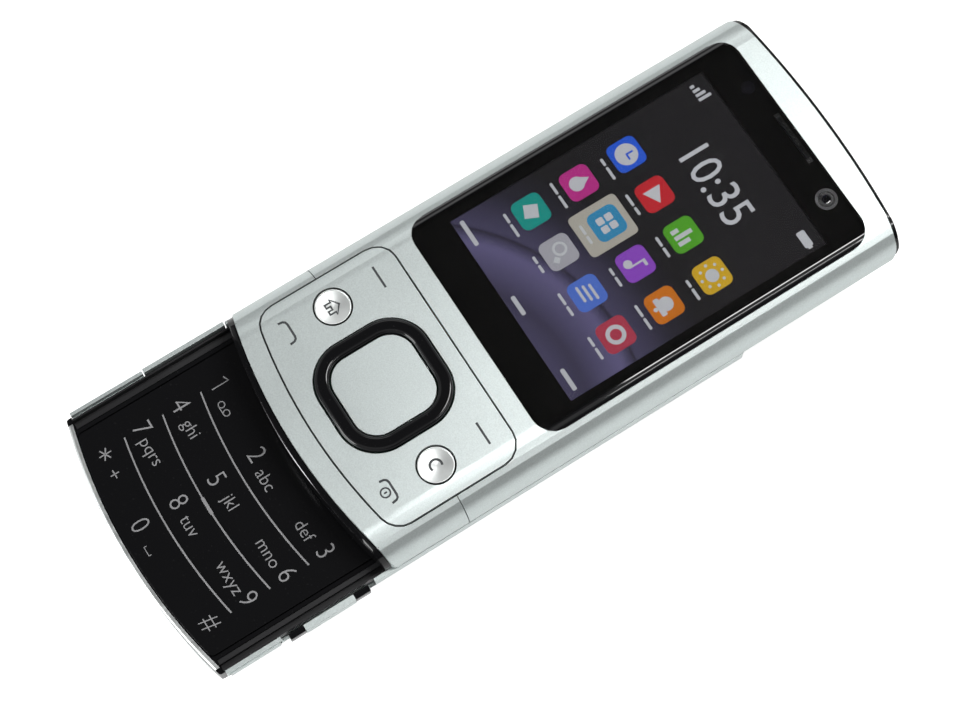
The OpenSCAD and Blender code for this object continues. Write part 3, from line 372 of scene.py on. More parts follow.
def lit(name, colour, strength):
    """A part of the picture that shines in its own colour"""
    material, tree, shader = new_material(name)
    group = add_group(tree, "lit", colour)
    group.name = "Pixels"
    feed(tree, shader, Emission_Color=group.outputs["Colour"], Roughness=group.outputs["Roughness"],
         Base_Color=(*[0.2 * c for c in colour], 1), Specular_IOR_Level=0, Emission_Strength=strength)
    return material


# ---------- making pieces ----------

def add_piece(name, mesh, body, material, stands_for=()):
    """Adds a finished mesh as a visible piece; a piece with no body is left unattached"""
    piece = bpy.data.objects.new(name, mesh)
    bpy.context.scene.collection.objects.link(piece)
    if material:
        mesh.materials.clear()
        mesh.materials.append(material)
    if body:
        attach(piece, body)
    if stands_for:
        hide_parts(*stands_for)
    return piece


def body_of(node):
    return frame["nodes"][node]["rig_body"]


def paint(node, material):
    """Gives a CAD piece that stays as it is its material"""
    mesh = frame["nodes"][node].data
    mesh.materials.clear()
    mesh.materials.append(material)


def mesh_from(bm, name):
    mesh = bpy.data.meshes.new(name)
    bm.to_mesh(mesh)
    bm.free()
    return mesh


def smooth_mesh(bm, name):
    """A mesh that is shaded smooth but for its sharp edges"""
    mesh = mesh_from(bm, name)
    mesh.shade_smooth()
    mesh.set_sharp_from_angle(angle=SHARP)
    return mesh


def closed_smooth(bm, name):
    """Finishes a closed shape: one skin, with outward faces"""
    bmesh.ops.remove_doubles(bm, verts=bm.verts, dist=0.0005 * MM)
    bmesh.ops.recalc_face_normals(bm, faces=bm.faces)
    return smooth_mesh(bm, name)


def soften(piece, edge, segments=2):
    """Rounds a piece's sharp edges and evens its shading"""
    bevel = piece.modifiers.new("Softened edges", 'BEVEL')
    bevel.width = edge
    bevel.segments = segments
    bevel.limit_method = 'ANGLE'
    bevel.angle_limit = SHARP
    bevel.harden_normals = True
    piece.modifiers.new("Even shading", 'WEIGHTED_NORMAL').keep_sharp = True
    return bevel


def true_corners(bm, middle, half_x, half_y, radius, inward=0.0):
    """Moves a rounded rectangle's outline onto its true arcs, with more points in them.

    The outline may also be moved further inward.
    """
    on_edge, on_outline, longest, level = 0.06 * MM, 0.16 * MM, 3 * MM, 0.001 * MM

    def from_corner(v):
        return Vector((abs(v.co.x - middle.x) - half_x + radius, abs(v.co.y - middle.y) - half_y + radius))

    def off_arc(v):
        way = from_corner(v)
        return abs(way.length - radius) if min(way) > -0.02 * MM else 1.0

    edges = [e for e in bm.edges if max(off_arc(v) for v in e.verts) < on_edge and e.calc_length() < longest
             and abs(e.verts[0].co.z - e.verts[1].co.z) < level]
    bmesh.ops.bisect_edges(bm, edges=edges, cuts=3)
    for v in bm.verts:
        if off_arc(v) < on_outline:
            way = from_corner(v)
            way *= (radius - inward) / way.length
            v.co.x = middle.x + math.copysign(half_x - radius + way.x, v.co.x - middle.x)
            v.co.y = middle.y + math.copysign(half_y - radius + way.y, v.co.y - middle.y)


def skin(node, material, edge, segments=2, gap_shade=None, rounded=None):
    """A smooth copy of a CAD piece with softened edges, which stands for it; a gap material, if given, paints
    shade on its inner walls and on its softened edges
    """
    bm = bmesh.new()
    bm.from_mesh(frame["nodes"][node].data)
    bmesh.ops.remove_doubles(bm, verts=bm.verts, dist=0.002 * MM)
    bmesh.ops.dissolve_limit(bm, angle_limit=math.radians(0.4), verts=bm.verts, edges=bm.edges)
    if rounded:
        true_corners(bm, *rounded)
    # upright walls near the middle line get the gaps' painted shade
    if gap_shade:
        bm.normal_update()
        for face in bm.faces:
            x, across = abs(face.calc_center_median().x), abs(face.normal.x) < 0.3
            if abs(face.normal.z) < 0.3 and (x < GAP_REACH or across and x < GAP_END_REACH):
                face.material_index = 1
    piece = add_piece(node + "_skin", smooth_mesh(bm, node + "_skin"), body_of(node), material, (node,))
    bevel = soften(piece, edge, segments)
    # with the gaps' painted shade, the softened edges are painted with it too
    if gap_shade:
        piece.data.materials.append(gap_shade)
        bevel.material = 1


def mesh_of(curve):
    """The mesh that a curve or a text makes"""
    holder = bpy.data.objects.new(curve.name, curve)
    bpy.context.scene.collection.objects.link(holder)
    mesh = bpy.data.meshes.new_from_object(holder.evaluated_get(bpy.context.evaluated_depsgraph_get()))
    bpy.data.objects.remove(holder)
    return mesh


def lettering(body, height, middle, z, like, narrow, thin=0.0):
    """Printed characters as a thin mesh, with their middle in mm from the window's; height is that of like"""
    def words(body):
        curve = bpy.data.curves.new("print", 'FONT')
        curve.body = body
        curve.extrude = 0.004
        curve.offset = thin
        curve.resolution_u = 3
        return mesh_of(curve)

    sample = [v.co.y for v in words(like).vertices]
    tall = max(sample) - min(sample)
    scale = height / tall
    mesh = words(body)
    xs = [v.co.x for v in mesh.vertices]
    mesh.transform(Matrix.Translation((*from_window([middle])[0], z))
                   @ Matrix.Diagonal((scale * narrow, scale, scale, 1))
                   @ Matrix.Translation((-(max(xs) + min(xs)) / 2, -tall / 2, 0)))
    return mesh


def line_art(strokes, width, z, closed=False):
    """Printed lines through lists of points, as a thin mesh with round ends and joints"""
    curve = bpy.data.curves.new("lines", 'CURVE')
    curve.dimensions = '3D'
    curve.bevel_depth = width / 2
    curve.bevel_resolution = 1
    curve.use_fill_caps = True
    for points in strokes:
        spline = curve.splines.new('POLY')
        spline.points.add(len(points) - 1)
        spline.use_cyclic_u = closed
        for point, (x, y) in zip(spline.points, points):
            point.co = (x, y, 0, 1)
    mesh = mesh_of(curve)
    mesh.transform(Matrix.Translation((0, 0, z)) @ Matrix.Diagonal((1, 1, 0.12, 1)))
    return mesh


def merged(name, meshes):
    bm = bmesh.new()
    for mesh in meshes:
        bm.from_mesh(mesh)
    return mesh_from(bm, name)


def ring_points(x, y, radius, start, end, count):
    turns = [math.radians(start + (end - start) * i / count) for i in range(count + 1)]
    return [(x + radius * math.cos(a), y + radius * math.sin(a)) for a in turns]


def from_window(points):
    """Points in mm from the window's middle, as places on the phone"""
    return [(x * MM, WINDOW_MID.y + y * MM) for x, y in points]


def line_print(lines, width, z):
    return line_art([from_window(line) for line in lines], width, z)


def faces_at(verts, material):
    faces = {f for v in verts for f in v.link_faces}
    for face in faces:
        face.material_index = material
    return faces


def tile(bm, x, y, w, h, corner, z, material=0, segments=5):
    """A flat rounded rectangle"""
    made = bmesh.ops.create_grid(bm, x_segments=1, y_segments=1, size=0.5,
                                 matrix=Matrix.Translation((x, y, z)) @ Matrix.Diagonal((w, h, 1, 1)))
    verts = made["verts"]
    if corner:
        verts = bmesh.ops.bevel(bm, geom=verts, offset=corner, offset_type='OFFSET', segments=segments,
                                profile=0.5, affect='VERTICES', material=-1)["verts"]
    return faces_at(verts, material)


def disc(bm, x, y, radius, z, material=0, sides=32, turn=0.0):
    place = Matrix.Translation((x, y, z)) @ Matrix.Rotation(math.radians(turn), 4, 'Z')
    made = bmesh.ops.create_circle(bm, cap_ends=True, segments=sides, radius=radius, matrix=place)
    return faces_at(made["verts"], material)


def face_up(bm):
    for face in bm.faces:
        if face.normal.z < 0:
            face.normal_flip()


def extrude(bm, faces, way):
    """Draws faces out along a way, and gives the corners that moved"""
    drawn = bmesh.ops.extrude_face_region(bm, geom=faces)["geom"]
    moved = [part for part in drawn if isinstance(part, bmesh.types.BMVert)]
    bmesh.ops.translate(bm, verts=moved, vec=way)
    return moved


def turned_shape(name, x, y, profile):
    """A shape turned about an upright axis from a profile of radii and heights"""
    bm = bmesh.new()
    verts = [bm.verts.new((x + radius, y, z)) for radius, z in profile]
    edges = [bm.edges.new(pair) for pair in zip(verts, verts[1:])]
    bmesh.ops.spin(bm, geom=verts + edges, cent=(x, y, 0), axis=(0, 0, 1), angle=2 * math.pi, steps=72,
                   use_merge=True)
    return closed_smooth(bm, name)


def glass_pane(name, low, high, edge_width, edge_radius, corner):
    """A slab that is rounded over along its two long edges, with its corners cut round plane by plane"""
    middle = (low + high) / 2
    half, half_length = (high.x - low.x) / 2, (high.y - low.y) / 2
    steps, cuts = 8, 40
    turns = [math.asin(edge_width / edge_radius) * step / steps for step in range(steps + 1)]
    side = [(half - edge_width + edge_radius * math.sin(a), high.z - edge_radius * (1 - math.cos(a)))
            for a in turns] + [(half, low.z)]
    outline = side + [(-x, z) for x, z in reversed(side)]
    bm = bmesh.new()
    extrude(bm, [bm.faces.new([bm.verts.new((middle.x + x, low.y, z)) for x, z in outline])],
            (0, high.y - low.y, 0))

    def slice_at(place, normal, **options):
        bmesh.ops.bisect_plane(bm, geom=bm.verts[:] + bm.edges[:] + bm.faces[:], plane_co=place,
                               plane_no=normal, **options)

    for end in (-1, 1):
        slice_at((0, middle.y + end * (half_length - 1.1 * corner), 0), (0, 1, 0))
    for cut in range(cuts):
        a = 2 * math.pi * (cut + 0.5) / cuts
        way = Vector((math.cos(a), math.sin(a), 0))
        centre = middle + Vector((math.copysign(half - corner, way.x),
                                  math.copysign(half_length - corner, way.y), 0))
        slice_at(centre + corner * way, way, dist=0.0001 * MM, clear_outer=True)
        bmesh.ops.holes_fill(bm, edges=[edge for edge in bm.edges if edge.is_boundary])
    return closed_smooth(bm, name)


def ring_band(name):
    """The navigation ring: a rounded square sheet with its middle taken out, raised and rounded over"""
    middle, size, corner = RING_OUTLINE
    bm = bmesh.new()
    faces = list(tile(bm, middle.x, middle.y, size.x - 2 * RING_TRIM, size.y - 2 * RING_TRIM,
                      corner - RING_TRIM, RING_LOW.z, segments=32))
    bmesh.ops.inset_region(bm, faces=faces, thickness=RING_BAND - RING_TRIM, use_even_offset=True,
                           use_boundary=True)
    bmesh.ops.delete(bm, geom=faces, context='FACES')
    top = set(extrude(bm, list(bm.faces), (0, 0, size.z)))
    bm.normal_update()
    rims = [e for e in bm.edges if top.issuperset(e.verts)
            and sum(abs(f.normal.z) > 0.5 for f in e.link_faces) == 1]
    bmesh.ops.bevel(bm, geom=rims, offset=0.6 * MM, offset_type='OFFSET', segments=6, profile=0.5,
                    affect='EDGES', material=-1)
    return closed_smooth(bm, name)


def lip_bead(name):
    """A bead along the lip's outer edge, which mirrors the low lamp as a tapering line"""
    low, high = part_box("slider_lip")
    centre = Vector((0, low.y + (high.x ** 2 + LIP_SAG ** 2) / (2 * LIP_SAG), 0))
    place = (Matrix.Translation((0, low.y + 0.12 * MM, high.z - 0.36 * MM))
             @ Matrix.Rotation(math.pi / 2, 4, 'Y'))
    bm = bmesh.new()
    made = bmesh.ops.create_circle(bm, segments=20, radius=BEAD_RADIUS, cap_ends=True, matrix=place)
    bmesh.ops.rotate(bm, verts=made["verts"], cent=centre, matrix=Matrix.Rotation(-BEAD_REACH, 3, 'Z'))
    bmesh.ops.spin(bm, geom=bm.faces[:], cent=centre, axis=(0, 0, 1), angle=2 * BEAD_REACH, steps=48)
    return closed_smooth(bm, name)


def key_dish(node):
    """A round key's middle, its radius above the flange, and the floor and sphere radius of its dish"""
    low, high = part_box(node)
    radius = (high.x - low.x) / 2 - FLANGE_WIDTH
    return (low + high) / 2, radius, high.z - DISH_FLOOR, (radius ** 2 + DISH_DEPTH ** 2) / (2 * DISH_DEPTH)


# ---------- operators: one for each group of like pieces ----------

class PHONE_OT_satin_shells(bpy.types.Operator):
    """Satin metal covers, function plate, sides and side keys, with painted shade on the walls of their gaps"""
    bl_idname = "phone.satin_shells"
    bl_label = "Satin shells"

    def execute(self, context):
        colours = context.scene.phone_finish
        satin = finish("Satin aluminium", "blasted", colours.silver, bump=0.2, metallic=0.85, Roughness=0.37,
                       Sparkle=0.3)
        for node, (middle, size, corner), grow, inward in (
                ("front_cover", WINDOW_OUTLINE, 0.05 * MM, 0), ("chin_cover", WINDOW_OUTLINE, 0.05 * MM, 0),
                ("function_plate", RING_OUTLINE, 0.2 * MM, RING_TRIM),
                ("centre_key", RING_OUTLINE, -2.65 * MM, 0)):
            # their gap walls and softened edges are painted near-black as shade
            skin(node, satin, colours.edge_width, gap_shade=painted_gap_shade(),
                 rounded=(middle, size.x / 2 + grow, size.y / 2 + grow, corner + grow, inward))
        for node in ("side_frame", "battery_cover", "port_cover", "volume_rocker", "camera_key"):
            skin(node, satin, colours.edge_width)
        return {'FINISHED'}


class PHONE_OT_gloss_pieces(bpy.types.Operator):
    """Gloss black caps, ring, keypad frame and back panel, and the bead along the lip"""
    bl_idname = "phone.gloss_pieces"
    bl_label = "Gloss black pieces"

    def execute(self, context):
        colours = context.scene.phone_finish
        gloss = finish("Gloss black", "gloss", colours.gloss, Specular_IOR_Level=0.32)
        for node in ("top_end_cap", "slider_lip", "keypad_frame", "camera_panel", "rocker_ends"):
            skin(node, gloss, colours.edge_width, segments=3)
        polished = finish("Polished bead", "drawn", (0.15, 0.15, 0.155), metallic=1.0, Roughness=0.16,
                          Streaks=0.05)
        add_piece("lip_bead", lip_bead("lip_bead"), "slider", polished)
        add_piece("nav_ring_band", ring_band("nav_ring_band"), body_of("nav_ring"), gloss,
                  ("nav_ring",))
        return {'FINISHED'}


class PHONE_OT_number_sheet(bpy.types.Operator):
    """The black number sheet with light ridges"""
    bl_idname = "phone.number_sheet"
    bl_label = "Number sheet"

    def execute(self, context):
        colours = context.scene.phone_finish
        sheet = finish("Number sheet", "gloss", colours.deck, Roughness=0.1)
        tree = sheet.node_tree
        base = tree.nodes["Principled BSDF"].inputs["Base Color"]
        on_ridge = calc(tree, 'GREATER_THAN', object_axes(tree)['Z'], DECK_Z + 0.05 * MM)
        tree.links.new(blend_colours(tree, on_ridge, base.links[0].from_socket, (*colours.ridge, 1)), base)
        skin("number_keypad", sheet, 0.03 * MM)
        return {'FINISHED'}


class PHONE_OT_bright_metal(bpy.types.Operator):
    """Turned round keys with painted shade on their sides, bottom trim and lens ring"""
    bl_idname = "phone.bright_metal"
    bl_label = "Bright metal"

    def execute(self, context):
        colours = context.scene.phone_finish
        for node in ("home_key", "clear_key"):
            low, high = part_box(node)
            middle, radius, floor, dish = key_dish(node)
            turned = finish("Turned " + node, "blasted", colours.bright, metallic=0.9, Roughness=0.42,
                            Sparkle=0.06, Anisotropic=0.5)
            tree = turned.node_tree
            away = vector_calc(tree, 'SUBTRACT', object_place(tree), (middle.x, middle.y, 0))
            around = vector_calc(tree, 'CROSS_PRODUCT', away, (0, 0, 1))
            feed(tree, tree.nodes["Principled BSDF"], Tangent=around)

            reaches = [radius * step / 12 for step in range(12)]
            flange, flange_z = radius + FLANGE_WIDTH, low.z + FLANGE_HEIGHT
            profile = [(reach, floor + reach ** 2 / (2 * dish)) for reach in reaches]
            profile += ring_points(radius - KEY_RIM, high.z - KEY_RIM, KEY_RIM, 110, 0, 6)
            profile += [(radius, flange_z), (flange, flange_z), (flange, low.z), (0, low.z)]
            mesh = turned_shape(node + "_turned", middle.x, middle.y, profile)
            add_piece(node + "_turned", mesh, body_of(node), turned, (node,))
            # the key's side and flange, below its rim, are painted near-black as shade in the gap round it
            mesh.materials.append(painted_gap_shade())
            for face in mesh.polygons:
                if face.center.z < high.z - KEY_RIM:
                    reach = (face.center.xy - middle.xy).length
                    face.material_index = int(reach > radius - KEY_RIM)
        bright = finish("Bright trim", "drawn", colours.bright, metallic=1.0, Roughness=0.34, Streaks=0.05)
        for node in ("bottom_trim", "lens_ring"):
            skin(node, bright, 0.06 * MM)
        return {'FINISHED'}


class PHONE_OT_window(bpy.types.Operator):
    """The glass window, and the black print on its underside"""
    bl_idname = "phone.window"
    bl_label = "Window"

    def execute(self, context):
        glass = finish("Window glass", "gloss", (0.93, 0.93, 0.93), Roughness=0.06, Smear=0.03, Dust=0.0,
                       Transmission_Weight=1.0)
        mesh = glass_pane("window_pane", WINDOW_LOW, WINDOW_HIGH, 1.25 * MM, 1.5 * MM, 3.5 * MM)
        pane = add_piece("window_pane", mesh, "slider", glass, ("display_window",))
        soften(pane, 0.12 * MM, segments=3)
        # the glass is printed black under its rounded edges, which are opaque and mirror the lamps as lines
        mesh.materials.append(finish("Window edge", "gloss", (0.0045, 0.0045, 0.005), Roughness=0.03,
                                     Smear=0.02, Dust=0.0))
        for face in mesh.polygons:
            face.material_index = int(abs(face.normal.x) > 0.01 and face.normal.z > 0.1)

        # the print: the window's sheet, less the picture and the openings above it
        screen = context.scene.phone_screen
        bm = bmesh.new()
        z = WINDOW_LOW.z + 0.004 * MM
        x, y = WINDOW_MID.x, WINDOW_MID.y
        size = WINDOW_HIGH - WINDOW_LOW
        faces = tile(bm, x, y, size.x - 0.1 * MM, size.y - 0.1 * MM, 3.45 * MM, z)
        faces |= tile(bm, x, y, screen.width, screen.height, 0.25 * MM, z)
        for right, up, radius in ((10.8, 26.8, 1.75), (-10.6, 27.2, 1.1)):
            faces |= disc(bm, x + right * MM, y + up * MM, radius * MM, z)
        faces |= tile(bm, x, y + 28.3 * MM, 9.4 * MM, 0.9 * MM, 0.1 * MM, z)
        bmesh.ops.delete(bm, geom=list(faces), context='FACES_ONLY')
        bmesh.ops.triangle_fill(bm, edges=bm.edges, use_beauty=True)
        face_up(bm)
        black = finish("Window print", "moulded", (0.0075, 0.0072, 0.007), Roughness=0.5,
                       Specular_IOR_Level=0.0)
        add_piece("window_print", mesh_from(bm, "window_print"), "slider", black)
        return {'FINISHED'}


# The wallpaper's bands run round a place that is given from the picture's middle
WALLPAPER_MIDDLE, WALLPAPER_REACH = (10 * MM, -45 * MM), 80 * MM
WALLPAPER_BANDS = ((0.0, 0.7), (0.22, 0.45), (0.30, 0.25), (0.305, 0.65), (0.37, 0.3), (0.44, 0.95),
                   (0.465, 0.15), (0.47, 0.45), (0.54, 0.08), (0.60, 0.0), (1.0, 0.0))  # reach, share of violet

TILE_COLOURS = ((0.03, 0.12, 0.75), (0.62, 0.03, 0.04), (0.10, 0.42, 0.03), (0.72, 0.45, 0.03),
                (0.55, 0.04, 0.28), (0.05, 0.30, 0.55), (0.30, 0.08, 0.60), (0.70, 0.20, 0.02),
                (0.02, 0.35, 0.30), (0.45, 0.45, 0.50), (0.10, 0.20, 0.70), (0.50, 0.06, 0.10))
CHOSEN = 5

# The sign on each tile, in halves of its side. A disc is x, y, radius, and then sides and turn if it isn't
# round. A bar is x, y, width, height and corner. Those that are cut show the tile's own colour.
SIGNS = (
    {"discs": [(0, 0, 0.72)], "cut bars": [(0, 0.2, 0.12, 0.5, 0), (0.2, 0, 0.4, 0.12, 0)]},  # clock face
    {"discs": [(-0.05, 0, 0.7, 3, -90)]},  # play triangle
    {"bars": [(-0.42, -0.35, 0.28, 0.5, 0), (0, 0, 0.28, 1.2, 0), (0.42, -0.2, 0.28, 0.8, 0)]},  # bars
    {"discs": [(0, 0, 0.42)] + [(x, y, 0.1, 12) for x, y in ring_points(0, 0, 0.72, 0, 315, 7)]},  # sun
    {"discs": [(0, -0.15, 0.48), (0, 0.22, 0.5, 3)]},  # drop
    {"bars": [(x, y, 0.48, 0.48, 0.1) for x in (-0.3, 0.3) for y in (-0.3, 0.3)]},  # sheet of squares
    {"discs": [(-0.2, -0.42, 0.28)], "bars": [(0.04, 0.1, 0.12, 1.1, 0), (0.22, 0.55, 0.44, 0.2, 0)]},  # note
    {"discs": [(0, 0.12, 0.46), (0, -0.6, 0.14, 12)], "bars": [(0, -0.3, 1.2, 0.36, 0.1)]},  # bell
    {"discs": [(0, 0, 0.62, 4, 20)]},  # leaf
    {"discs": [(-0.15, 0.15, 0.46), (0.38, -0.38, 0.26, 4)], "cut discs": [(-0.15, 0.15, 0.3)]},  # magnifier
    {"bars": [(x, y, 1.1, 0.18, 0.08) for x, y in ((-0.12, -0.38), (0, 0), (0.12, 0.38))]},  # waves
    {"discs": [(0, 0, 0.62)], "cut discs": [(0, 0, 0.36)]},  # ring
)


class PHONE_OT_screen(bpy.types.Operator):
    """The lit picture: clock, tiles with simple signs, and soft key bars"""
    bl_idname = "phone.screen"
    bl_label = "Screen"

    def execute(self, context):
        screen = context.scene.phone_screen
        self.wallpaper(screen)
        paints = [lit("Tile %d" % i, colour, screen.glow) for i, colour in enumerate(TILE_COLOURS)]
        paints += [lit("Sign white", (0.62, 0.64, 0.68), screen.glow),
                   lit("Chosen tile", (0.50, 0.48, 0.42), screen.glow)]
        white, chosen = len(TILE_COLOURS), len(TILE_COLOURS) + 1
        low_z = SCREEN_Z + 2 * LAYER
        bm = bmesh.new()

        # in mm from the picture's middle, on layer upon layer
        def bar(x, y, w, h, corner=0.0, layer=0, material=white):
            tile(bm, WINDOW_MID.x + x * MM, WINDOW_MID.y + y * MM, w * MM, h * MM, corner * MM,
                 low_z + layer * LAYER, material)

        def dot(x, y, radius, layer, material, *form):
            disc(bm, WINDOW_MID.x + x * MM, WINDOW_MID.y + y * MM, radius * MM, low_z + layer * LAYER, material,
                 *form)

        side = screen.tile / MM
        for i, sign in enumerate(SIGNS):
            x, y = (i % 4 - 1.5) * 7.7, 5.6 - i // 4 * 8.6
            if i == CHOSEN:
                bar(x, y - 0.7, 7.4, 8.4, 0.8, 0, chosen)
            bar(x, y, side, side, 1.1, 1, i)
            # a caption as two dashes of its own lengths
            for way, wide in ((-1, 1.3 + i * 5 % 3 * 0.4), (1, 2.3 - i * 7 % 4 * 0.3)):
                bar(x + way * (0.15 + wide / 2), y - 3.7, wide, 0.45, 0.15, 1)
            for kind, shapes in sign.items():
                layer, material = (3, i) if kind.startswith("cut") else (2, white)
                for shape in shapes:
                    right, up, *sizes = [part * side / 2 for part in shape]
                    if kind.endswith("discs"):
                        dot(x + right, y + up, sizes[0], layer, material, *shape[3:])
                    else:
                        bar(x + right, y + up, *sizes, layer, material)
        for way, wide in ((-1, 4.6), (0, 3.4), (1, 3.8)):  # above the soft keys
            bar(way * 13.6, -21.3, wide, 0.7, 0.25)
        for step in range(4):  # signal strength
            bar(-15.4 + 0.8 * step, 20.2 + 0.25 * step, 0.5, 0.7 + 0.5 * step)
        bar(14.2, 20.5, 2.8, 1.4, 0.3)  # battery
        bar(15.75, 20.5, 0.3, 0.7)
        face_up(bm)
        piece = add_piece("screen_tiles", mesh_from(bm, "screen_tiles"), "slider", None)
        for material in paints:
            piece.data.materials.append(material)
        clock = merged("screen_clock", [lettering("10:35", 5.2 * MM, (0, 14.4), low_z, "5", 0.9)])
        add_piece("screen_clock", clock, "slider", paints[white])
        return {'FINISHED'}

    def wallpaper(self, screen):
        """Violet bands round a place below the picture"""
        x, y = WINDOW_MID.x, WINDOW_MID.y
        bm = bmesh.new()
        tile(bm, x, y, screen.width, screen.height, 0.3 * MM, SCREEN_Z + LAYER)
        paper = lit("Screen wallpaper", screen.dark, screen.glow)
        tree = paper.node_tree
        away = vector_calc(tree, 'SUBTRACT', object_place(tree),
                           (x + WALLPAPER_MIDDLE[0], y + WALLPAPER_MIDDLE[1], 0))
        reach = calc(tree, 'MULTIPLY', vector_calc(tree, 'LENGTH', away), 1 / WALLPAPER_REACH)
        bands = [(at, [d + v * share for d, v in zip(screen.dark, screen.violet)])
                 for at, share in WALLPAPER_BANDS]
        feed(tree, tree.nodes["Pixels"], Tint=colour_ramp(tree, reach, bands))
        add_piece("screen_wallpaper", mesh_from(bm, "screen_wallpaper"), "slider", paper)


# Signs on the dished round keys, in mm from the key's middle: a house, and an open circle
HOUSE = [(-1.3, 0.05), (0, 1.05), (1.3, 0.05), (0.85, 0.05), (0.85, -0.95), (0.3, -0.95), (0.3, -0.25),
         (-0.3, -0.25), (-0.3, -0.95), (-0.85, -0.95), (-0.85, 0.05)]
OPEN_CIRCLE = ring_points(0, 0, 0.9, 62, 298, 20)


class PHONE_OT_function_legends(bpy.types.Operator):
    """Soft key bars, call and end signs, and the signs on the round keys"""
    bl_idname = "phone.function_legends"
    bl_label = "Function key legends"

    def execute(self, context):
        prints = context.scene.phone_print
        dark = finish("Dark print", "moulded", prints.on_silver, Roughness=0.45)
        width = prints.mark_width
        soft_bars = [(-16.5, -36.5), (-12.7, -36.5)], [(12.1, -36.4), (15.9, -36.4)]
        marks = [line_print(soft_bars, width, FRONT_Z)]
        # a receiver as a bent line, and the same with a small dial for the power key
        half_receiver = [(1.85, -53.0), (1.75, -52.25), (1.5, -51.92), (1.05, -51.8)]
        for x, power in ((-14.5, False), (13.95, True)):
            receiver = [(x - right, up) for right, up in half_receiver]
            receiver += [(x + right, up) for right, up in reversed(half_receiver)]
            marks.append(line_print([receiver], width, FRONT_Z))
            if power:
                dial = [ring_points(x, -53.05, 0.72, 0, 360, 24), [(x, -53.3), (x, -52.8)]]
                marks.append(line_print(dial, width * 0.7, FRONT_Z))
        add_piece("function_legends", merged("function_legends", marks), "function_keys",
                  dark)

        for node, stroke, closed in (("home_key", HOUSE, True), ("clear_key", OPEN_CIRCLE, False)):
            middle, _, floor, dish = key_dish(node)
            bm = bmesh.new()
            bm.from_mesh(line_art([[(x * MM, y * MM) for x, y in stroke]], width, 0, closed=closed))
            bmesh.ops.subdivide_edges(bm, edges=[e for e in bm.edges if e.calc_length() > 0.3 * MM], cuts=2)
            for v in bm.verts:
                v.co.z += floor + 0.015 * MM + (v.co.x ** 2 + v.co.y ** 2) / (2 * dish)
                v.co.x += middle.x
                v.co.y += middle.y
            add_piece(node + "_sign", mesh_from(bm, node + "_sign"), body_of(node), dark)
        return {'FINISHED'}


# Legends of the number sheet in mm from the window's middle; the 1, the star and small signs are drawn as lines
DIGITS = (("2", -2.8, -65.4), ("3", 15.1, -64.4), ("4", -15.5, -71.1), ("5", -2.8, -72.3), ("6", 15.1, -70.9),
          ("7", -15.4, -77.7), ("8", -2.8, -78.8), ("9", 15.1, -77.5), ("0", -2.8, -85.3), ("#", 15.2, -83.8))
LETTERS = (("abc", 1.2, -66.6), ("def", 10.9, -65.7), ("ghi", -11.5, -71.9), ("jkl", 1.3, -72.7),
           ("mno", 10.9, -71.9), ("pqrs", -11.6, -78.6), ("tuv", 1.2, -79.5), ("wxyz", 11.0, -78.5))
ONE = [(-15.9, -63.45), (-15.0, -63.05), (-15.0, -65.95)]
STAR = [[(-14.9 - math.cos(a), -84.3 - math.sin(a)), (-14.9 + math.cos(a), -84.3 + math.sin(a))]
        for a in (math.pi / 2, math.pi / 6, -math.pi / 6)]
PLUS = [[(-12.2, -84.6), (-10.8, -84.6)], [(-11.5, -85.3), (-11.5, -83.9)]]
TAPE = [ring_points(-12.25, -65.9, 0.5, 0, 360, 16), ring_points(-10.75, -65.9, 0.5, 0, 360, 16),
        [(-12.25, -66.42), (-10.75, -66.42)]]
SPACE = [(0.4, -86.1), (0.4, -86.5), (1.9, -86.5), (1.9, -86.1)]


class PHONE_OT_number_legends(bpy.types.Operator):
    """Digits and letters printed on the number sheet"""
    bl_idname = "phone.number_legends"
    bl_label = "Number key legends"

    def execute(self, context):
        prints = context.scene.phone_print
        light = finish("Light print", "moulded", prints.on_black, Roughness=0.5)
        meshes = []
        for words, height, like, narrow, thin in ((DIGITS, prints.digit_height, "5", 0.86, -0.014),
                                                  (LETTERS, prints.letter_height, "x", 0.95, -0.008)):
            meshes += [lettering(word, height, middle, DECK_Z, like, narrow, thin) for word, *middle in words]
        width = 0.22 * MM
        meshes.append(line_print([*STAR, ONE, *PLUS], width, DECK_Z))
        meshes.append(line_print([*TAPE, SPACE], width * 0.8, DECK_Z))
        add_piece("number_legends", merged("number_legends", meshes), "number_keys", light)
        return {'FINISHED'}


